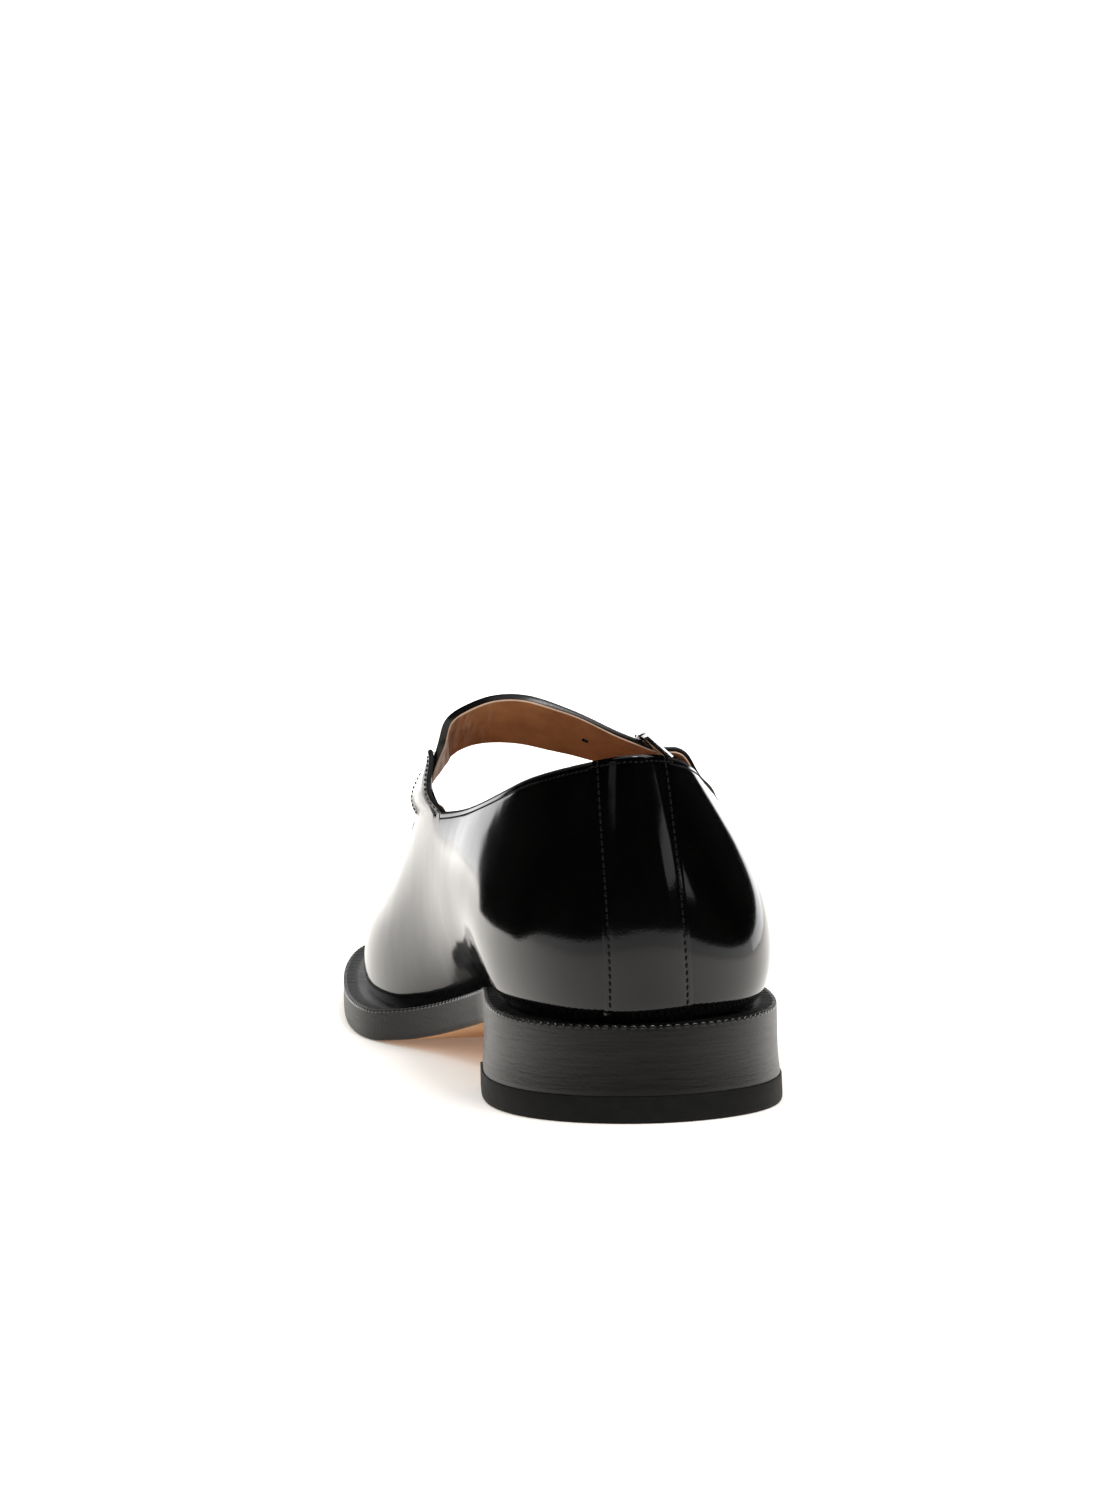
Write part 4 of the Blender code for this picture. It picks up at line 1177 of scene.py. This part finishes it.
def make_upper():
    columns = even_columns(700)
    risen = ear_rise(columns)[:, None]

    def leather_inside(w):
        return LEATHER_SHARE + (1.0 - LEATHER_SHARE) * risen * smooth((w - 0.80) / 0.06)

    shares = (np.zeros_like, leather_inside)
    outer = wall_layer(columns, shares, np.ones(len(columns)), EDGE_ROLL, 0.0, 0.0, True)
    around = outer.shape[1]
    first = len(UPPER_LOW_ROWS) + len(EDGE_STEPS) - 1
    turn = range(first, first + len(ROLL_ANGLES) + 2)
    rolled = [i * around + j for i in range(len(outer)) for j in turn]
    stains = [UPPER_BLACK, EDGE_DYE]
    leather = add_piece("upper_leather", swept(outer, True), stains, "upper", "upper", marked=[rolled])
    columns = even_columns(420)
    cap = 1.0 - LINING_SHORT_OF_EAR * ear_rise(columns)
    shares = (lambda w: np.full_like(w, LEATHER_SHARE + 0.02), np.ones_like)
    inner = wall_layer(columns, shares, cap, 0.2, 0.3, 0.02, False)
    add_piece("upper_lining", swept(inner, True), [LINING_TAN], "insole")
    return leather


def make_backstay():
    rows = np.concatenate((np.linspace(0.004, 0.97, 84), [0.98, 0.988, 0.994, 0.998]))
    dense = np.linspace(-BACKSTAY_REACH, BACKSTAY_REACH, 1121)
    count = 33
    outer = np.empty((len(rows), count, 3))
    inner = np.empty_like(outer)
    stitch_points = {-1: [], 1: []}
    stitch_normals = {-1: [], 1: []}
    for j, w in enumerate(rows):
        path = upper_points(dense, [w])[:, 0]
        walked = walked_along(path)
        walked = walked - np.interp(0.0, dense, walked)
        half = 0.5 * (BACKSTAY_FOOT_WIDTH + (BACKSTAY_TOP_WIDTH - BACKSTAY_FOOT_WIDTH) * w)
        middle = BACKSTAY_MIDDLE + BACKSTAY_LEAN * w
        across = half * np.sin(np.linspace(-0.5, 0.5, count) * math.pi)
        places = np.interp(middle + across, walked, dense)
        face = upper_points(places, [w])[:, 0]
        normals = wall_normals(places, [w])[:, 0]
        from_edge = half - np.abs(across)
        groove = STITCH_GROOVE * np.exp(-(((from_edge - BACKSTAY_STITCH_INSET) / 0.42) ** 2))
        dome = BACKSTAY_EDGE + (BACKSTAY_OUT - BACKSTAY_EDGE) * (1.0 - (across / half) ** 2)
        foot = smooth((1.0 - w) / 0.012) ** 0.5
        height = dome * (0.4 + 0.6 * foot) - groove
        from_foot = np.linalg.norm(face - upper_points(places, [0.0])[:, 0], axis=1)
        outer[j] = face + normals * (height + swells(face) - foot_tuck(face, from_foot))[:, None]
        inner[j] = face + normals * 0.03
        for side in (-1, 1):
            spot = np.interp(middle + side * (half - BACKSTAY_STITCH_INSET), walked, dense)
            point = upper_points([spot], [w])[0, 0]
            normal = wall_normals([spot], [w])[0, 0]
            stitch_points[side].append(point + normal * (BACKSTAY_EDGE + 0.10))
            stitch_normals[side].append(normal)
    loops = np.concatenate((outer, inner[:, ::-1]), axis=1)
    add_piece("backstay_strip", swept(loops, False), [UPPER_BLACK], "backstay", "backstay")
    threads = []
    for side in (-1, 1):
        points, normals = np.array(stitch_points[side]), np.array(stitch_normals[side])
        threads.append(stitch_row(points[6:], normals[6:], **BACKSTAY_STITCH, slant=0.16 * side))
    add_piece("backstay_stitches", joined(threads), [THREAD], "backstay", sharp=SHARP_BEAD)


def make_topline_stitches(leather):
    columns = even_columns(1400)
    top = upper_points(columns, [1.0])[:, 0]
    below = upper_points(columns, [0.985])[:, 0]
    heading = unit(np.roll(top, -1, axis=0) - np.roll(top, 1, axis=0))
    normals = wall_normals(columns, [0.995])[:, 0]
    down = unit(np.cross(heading, normals))
    down = down * np.sign(np.sum(down * (below - top), axis=1, keepdims=True))
    guide = top + down * STITCH_BELOW_EDGE
    middle, half, furthest = OVER_BACKSTAY
    backstay = (np.abs(top[:, 0] - middle) < half) & (top[:, 1] < furthest)
    places, normals = snapped(leather, guide)
    lifted = places + normals * np.where(backstay, BACKSTAY_OUT, 0.0)[:, None]
    row = stitch_row(lifted, normals, **TOPLINE_STITCH, closed=True, slant=0.1)
    add_piece("upper_stitches", row, [THREAD], "upper", sharp=SHARP_BEAD)


def heel_loop(scale):
    """Outline of the sole from above, scaled about the middle of the heel."""
    loop = SOLE_CURVE(np.linspace(0.0, SOLE_CURVE.length, 520, endpoint=False))
    return HEEL_MIDDLE + (loop - HEEL_MIDDLE) * scale


def wheel_marks(walked):
    """Marks that a notched wheel leaves on the welt, deep at the edge."""
    return (0.5 - 0.5 * np.cos(2.0 * math.pi * walked / WHEEL_PITCH)) ** 2.5


def make_sole():
    fine = SOLE_CURVE(np.linspace(0.0, SOLE_CURVE.length, 3600, endpoint=False))
    welt_rows = (
        (0.0, 0.0, 0.0, 0.0),
        (0.0, 0.5, 0.0, 0.0),
        (0.0, 1.0, -0.75, 0.0),
        (0.04, 1.0, -0.34, 0.30),
        (0.14, 1.0, -0.08, 0.55),
        (0.36, 1.0, 0.0, 0.62),
        (0.90, 1.0, -0.03, 0.52),
        (1.60, 1.0, -0.06, 0.42),
        (2.40, 1.0, -0.06, 0.34),
        (3.20, 1.0, -0.04, 0.20),
        (3.90, 1.0, 0.0, 0.0),
    )
    points, faces, undersides = rounded_plate(
        fine, lambda y: welt_underside(y) - SOLE_GAP, welt_top, welt_rows, wheel=wheel_marks
    )
    around = (len(faces) - 2 * len(undersides)) // (len(welt_rows) - 1)
    first = 2 * len(undersides)
    side = range(first, first + 2 * around)
    rim = range(first + 2 * around, first + 6 * around)
    stains = [WELT_BLACK, RIM_BLACK, EDGE_BLACK]
    look = {"sharp": SHARP_WELT, "marked": [rim, side]}
    add_piece("welt_strip", (points, faces), stains, "welt", "welt", **look)
    coarse = SOLE_CURVE(np.linspace(0.0, SOLE_CURVE.length, 620, endpoint=False))

    def rounding(size):
        return lambda y: 0.01 + size * smooth((y - HEEL_BREAST_Y + 1.0) / 10.0)

    sole_rows = (
        (rounding(1.10), 0.0, 0.0, 0.0),
        (rounding(0.45), 0.0, 0.14, 0.0),
        (rounding(0.10), 0.0, 0.50, 0.0),
        (0.0, 0.0, 1.10, 0.0),
        (0.0, 1.0, 0.0, 0.0),
    )
    points, faces, undersides = rounded_plate(
        coarse, sole_underside, lambda y: sole_underside(y) + OUTSOLE_THICK, sole_rows
    )
    stains = [EDGE_BLACK, SOLE_TAN]
    add_piece("outsole_leather", (points, faces), stains, "outsole", "outsole", marked=[undersides])
    insole_columns = even_columns(420)
    feather = UPPER_CURVE(insole_columns)[:, 0:2]
    outward = plan_normal(UPPER_CURVE.slope(insole_columns)[:, 0:2])[:, 0:2]
    loop = feather - outward * (WALL_AT_SOLE + INSOLE_CLEARANCE - INSOLE_OVER)
    insole_rows = (
        (0.1, 0.0, 0.0, 0.0),
        (0.0, 0.0, 0.2, 0.0),
        (0.0, 1.0, -0.5, 0.0),
        (0.2, 1.0, -0.12, 0.0),
        (0.7, 1.0, 0.0, 0.0),
    )
    points, faces, _ = rounded_plate(
        loop, welt_top, lambda y: welt_top(y) + SOLE_GAP + INSOLE_THICK, insole_rows
    )
    add_piece("insole_sock", (points, faces), [SOCK_TAN], "insole", "insole")


def make_heel():
    loop = heel_loop(1.0)
    steps = 9
    rows = []
    for number in range(steps):
        share = number / (steps - 1)
        grow = (STACK_FLARE - 1.0) * (1.0 - share) ** 2 * HEEL_RADIUS
        rows.append((-grow, share, 0.0, 0.0))
    rows[0] = (rows[0][0] + 0.12, 0.0, 0.0, 0.0)
    rows.insert(1, (rows[1][0] - 0.05, 0.0, 0.14, 0.0))
    points, faces, _ = rounded_plate(
        loop,
        lambda y: np.full_like(y, TOP_PIECE_HEIGHT),
        sole_underside,
        rows,
        front=HEEL_BREAST_Y,
    )
    add_piece("heel_lifts", (points, faces), [EDGE_BLACK], "heel_stack", "heel_stack")
    piece_rows = (
        (0.75, 0.0, 0.0, 0.0),
        (0.28, 0.0, 0.10, 0.0),
        (0.05, 0.0, 0.45, 0.0),
        (0.0, 0.0, 1.0, 0.0),
        (0.10, 1.0, -0.35, 0.0),
        (0.20, 1.0, -0.06, 0.0),
        (0.45, 1.0, 0.0, 0.0),
    )
    points, faces, _ = rounded_plate(
        heel_loop(HEEL_FLARE),
        np.zeros_like,
        lambda y: np.full_like(y, TOP_PIECE_HEIGHT),
        piece_rows,
        front=HEEL_MIDDLE[1] + (HEEL_BREAST_Y - HEEL_MIDDLE[1]) * HEEL_FLARE,
    )
    add_piece("heel_top_rubber", (points, faces), [RUBBER], "heel_top_piece", "heel_top_piece")


def prong_slot(alongs, half, heights):
    """A box at the buckle, between two places along the strap and two heights."""
    corners = [in_buckle(u, w, n) for u in alongs for w in (-half, half) for n in heights]
    faces = [(0, 1, 3, 2), (4, 6, 7, 5), (0, 4, 5, 1), (2, 3, 7, 6), (0, 2, 6, 4), (1, 5, 7, 3)]
    return np.array(corners), faces


def make_strap():
    guide = strap_guide(320)
    end = {"tips": STRAP_TIP_RADIUS, "skive": STRAP_SKIVE}
    leather = band_layer(guide, 0.0, STRAP_LEATHER, 0.60, **end)
    lining = band_layer(
        guide, STRAP_LEATHER + 0.01, STRAP_LINED, 0.10, creases=LINING_CREASES, **end
    )
    outer = add_piece("strap_leather", swept(leather, False), [STRAP_BLACK], "strap", "strap")
    around = lining.shape[1]
    sides = [i * around + j for i in range(len(lining) - 1) for j in (STRAP_FRONT_SIDE, around - 1)]
    tans = [STRETCH_AND_SHEEN_TAN, CUT_TAN]
    inner = add_piece("strap_lining", swept(lining, False), tans, "insole", marked=[sides])
    edges, slopes, wide = guide
    middles = edges[:, 0:3] + 0.5 * wide
    along = unit(slopes[:, 0:3] + slopes[:, 3:6])
    normals = unit(np.cross(along, wide))
    walked = walked_along(middles)
    prong = np.argmin(np.linalg.norm(middles - in_buckle(0.2, 0.0, 0.0), axis=1))
    holes = []
    for from_prong in HOLES_FROM_PRONG:
        k = np.argmin(np.abs(walked - walked[prong] - from_prong))
        path = middles[k] + np.linspace(-3.0, 2.0, 2)[:, None] * normals[k]
        holes.append(swept(bar(path, along[k], circle(STRAP_HOLE_RADIUS, 24), False), False))
    holes.append(prong_slot(*STRAP_SLOT))
    cut_through((outer, inner), joined(holes))


def cut_through(targets, solid):
    """Cuts closed solids out of pieces and leaves no modifier behind."""
    mesh = new_mesh("cutter", solid)
    mesh.materials.append(THREAD)
    cutter = bpy.data.objects.new("cutter", mesh)
    bpy.context.scene.collection.objects.link(cutter)
    for target in targets:
        modifier = target.modifiers.new("cut", "BOOLEAN")
        modifier.object = cutter
        modifier.operation = "DIFFERENCE"
        modifier.solver = "EXACT"
        modifier.material_mode = "TRANSFER"
        depsgraph = bpy.context.evaluated_depsgraph_get()
        cut = bpy.data.meshes.new_from_object(target.evaluated_get(depsgraph))
        target.modifiers.clear()
        target.data = cut
        cut.set_sharp_from_angle(angle=math.radians(SHARP_EDGE))
    bpy.data.objects.remove(cutter, do_unlink=True)


def make_buckle():
    normal = unit(np.cross(BUCKLE_ALONG, BUCKLE_ACROSS))
    section = bevelled_section(**FRAME_SECTION, steps=4)
    ring = swept(bar(frame_path(220), normal, section, True), True)
    add_piece("buckle_ring", ring, [METAL], "buckle_frame", "buckle_frame", sharp=SHARP_BEAD)
    rows = np.array([in_buckle(along, 0.0, height) for _, along, height in PRONG_ROWS])
    curve = Curve(rows, distances(rows, False), False)
    path = curve(np.linspace(0.0, curve.length, 90))
    taper = np.ones(len(path))
    taper[-8:] = np.sqrt(np.clip(1.0 - np.linspace(0.0, 0.95, 8) ** 2, 0.0, 1.0))
    taper[:4] = np.linspace(0.45, 1.0, 4)
    section = taper[:, None, None] * circle(PRONG_RADIUS, 16)[None]
    pin = swept(bar(path, BUCKLE_ACROSS, section, False), False)
    add_piece("buckle_pin", pin, [METAL], "buckle_prong", "buckle_prong", sharp=SHARP_BEAD)
    loop = band_layer(tab_guide(140), -TAB_THICK / 2.0, TAB_THICK / 2.0, 0.25)
    tab = add_piece("buckle_loop", swept(loop, False), [STRAP_BLACK], "buckle_tab", "buckle_tab")
    cut_through((tab,), prong_slot(*TAB_SLOT))


def stage_piece(name, corners, faces, material):
    mesh = bpy.data.meshes.new(name)
    mesh.from_pydata(corners, [], faces)
    mesh.materials.append(material)
    obj = bpy.data.objects.new(name, mesh)
    bpy.context.scene.collection.objects.link(obj)
    return obj


def make_floor():
    """A white floor with a faint warm glow of its own, which lifts the shadow under the arch."""
    material, _, shader = shader_of("floor_white", (0.94, 0.92, 0.885), 0.9, Specular_IOR_Level=0.0)
    shader.inputs["Emission Color"].default_value = (1.0, 0.84, 0.70, 1.0)
    shader.inputs["Emission Strength"].default_value = 0.13
    side, near, far = STUDIO_SIDE, STUDIO_NEAR, STUDIO_FAR
    plan = ((-side, near), (side, near), (side, far), (-side, far))
    return stage_piece("floor", [(x, y, 0.0) for x, y in plan], [(0, 1, 2, 3)], material)


def make_screen():
    """A dark screen that only reflections see, close on the inner side of the shoe."""
    material, _, _ = shader_of("screen_black", (0.0, 0.0, 0.0), 1.0, Specular_IOR_Level=0.0)
    corners, faces = [], []
    for angle in np.radians(np.linspace(*SCREEN_ANGLES, 90)):
        away = float(smooth((math.degrees(angle) - SCREEN_CLOSE_END) / SCREEN_CHANGE))
        radius = SCREEN_CLOSE + (SCREEN_FAR - SCREEN_CLOSE) * away
        x = radius * math.sin(angle)
        y = -radius * math.cos(angle)
        corners += [(x, y, SCREEN_FOOT * away), (x, y, SCREEN_TOP)]
    for k in range(0, len(corners) - 2, 2):
        faces.append((k, k + 2, k + 3, k + 1))
    screen = stage_piece("dark_screen", corners, faces, material)
    screen.visible_camera = False
    screen.visible_diffuse = False
    screen.visible_shadow = False
    return screen


def make_backdrop():
    """A white wall behind the shoe that glows, most at its foot."""
    material, tree, shader = shader_of("backdrop_light", (0.0, 0.0, 0.0), 1.0, Specular_IOR_Level=0.0)
    shader.inputs["Emission Color"].default_value = (1.0, 1.0, 1.0, 1.0)
    wash = range_node(tree, axis_node(tree, "Z"), *BACKDROP_GLOW, 0.0, BACKDROP_FADE)
    tree.links.new(wash, shader.inputs["Emission Strength"])
    side, top = STUDIO_SIDE, BACKDROP_TOP
    front = ((-side, 0.0), (side, 0.0), (side, top), (-side, top))
    return stage_piece("backdrop", [(x, STUDIO_FAR, z) for x, z in front], [(0, 1, 2, 3)], material)


def make_lights():
    for name, spot, aim, size, power, mirrored in LIGHTS:
        data = bpy.data.lights.new(name, "AREA")
        data.shape = "RECTANGLE"
        data.size, data.size_y = size
        data.energy = power
        light = bpy.data.objects.new(name, data)
        light.location = spot
        light.visible_glossy = mirrored
        direction = Vector(aim) - Vector(spot)
        light.rotation_euler = direction.to_track_quat("-Z", "Y").to_euler()
        bpy.context.scene.collection.objects.link(light)


def make_studio():
    """White floor, white surroundings, a dark screen seen only in reflections, and lights."""
    scene = bpy.context.scene
    scene.world = bpy.data.worlds.new("studio")
    scene.world.use_nodes = True
    background = scene.world.node_tree.nodes["Background"]
    background.inputs["Color"].default_value = (1.0, 1.0, 1.0, 1.0)
    background.inputs["Strength"].default_value = 1.0
    floor = make_floor()
    screen = make_screen()
    wall = make_backdrop()
    make_lights()
    scene.view_settings.view_transform = "Standard"


def make_camera():
    """The photo's own viewpoint, worked out from the heel, sole and strap."""
    azimuth, elevation, roll = math.radians(-9.74), math.radians(8.81), math.radians(-1.0)
    distance, pixels_per_mm = 1100.0, 4.71
    frame_width, frame_height = 1118.0, 1491.0
    aim_pixel = np.array((652.2, 1123.8))
    focal = pixels_per_mm * distance
    level = math.cos(elevation)
    back = np.array((math.sin(azimuth) * level, -math.cos(azimuth) * level, math.sin(elevation)))
    ahead = -back
    right = unit(np.cross(ahead, UP))
    over = np.cross(right, ahead)
    right, over = (
        math.cos(roll) * right + math.sin(roll) * over,
        -math.sin(roll) * right + math.cos(roll) * over,
    )
    offset = (aim_pixel - np.array((frame_width, frame_height)) / 2.0) / focal
    turned = Vector((offset[0], -offset[1], 1.0)).normalized()
    swing = np.array(turned.rotation_difference(Vector((0.0, 0.0, 1.0))).to_matrix())
    axes = np.stack((right, over, ahead), axis=1) @ swing
    pose = Matrix([[*row[0:2], -row[2]] for row in axes.tolist()]).to_4x4()
    pose.translation = Vector((back * distance + SHIFT) * MM)
    data = bpy.data.cameras.new("camera")
    data.sensor_fit = "VERTICAL"
    data.sensor_height = 36.0
    data.lens = focal / frame_height * data.sensor_height
    data.clip_start = 0.01
    camera = bpy.data.objects.new("camera", data)
    camera.matrix_world = pose
    bpy.context.scene.collection.objects.link(camera)
    bpy.context.scene.camera = camera


UPPER_PIECE = make_upper()
make_backstay()
make_topline_stitches(UPPER_PIECE)
make_sole()
make_heel()
make_strap()
make_buckle()
make_studio()
make_camera()
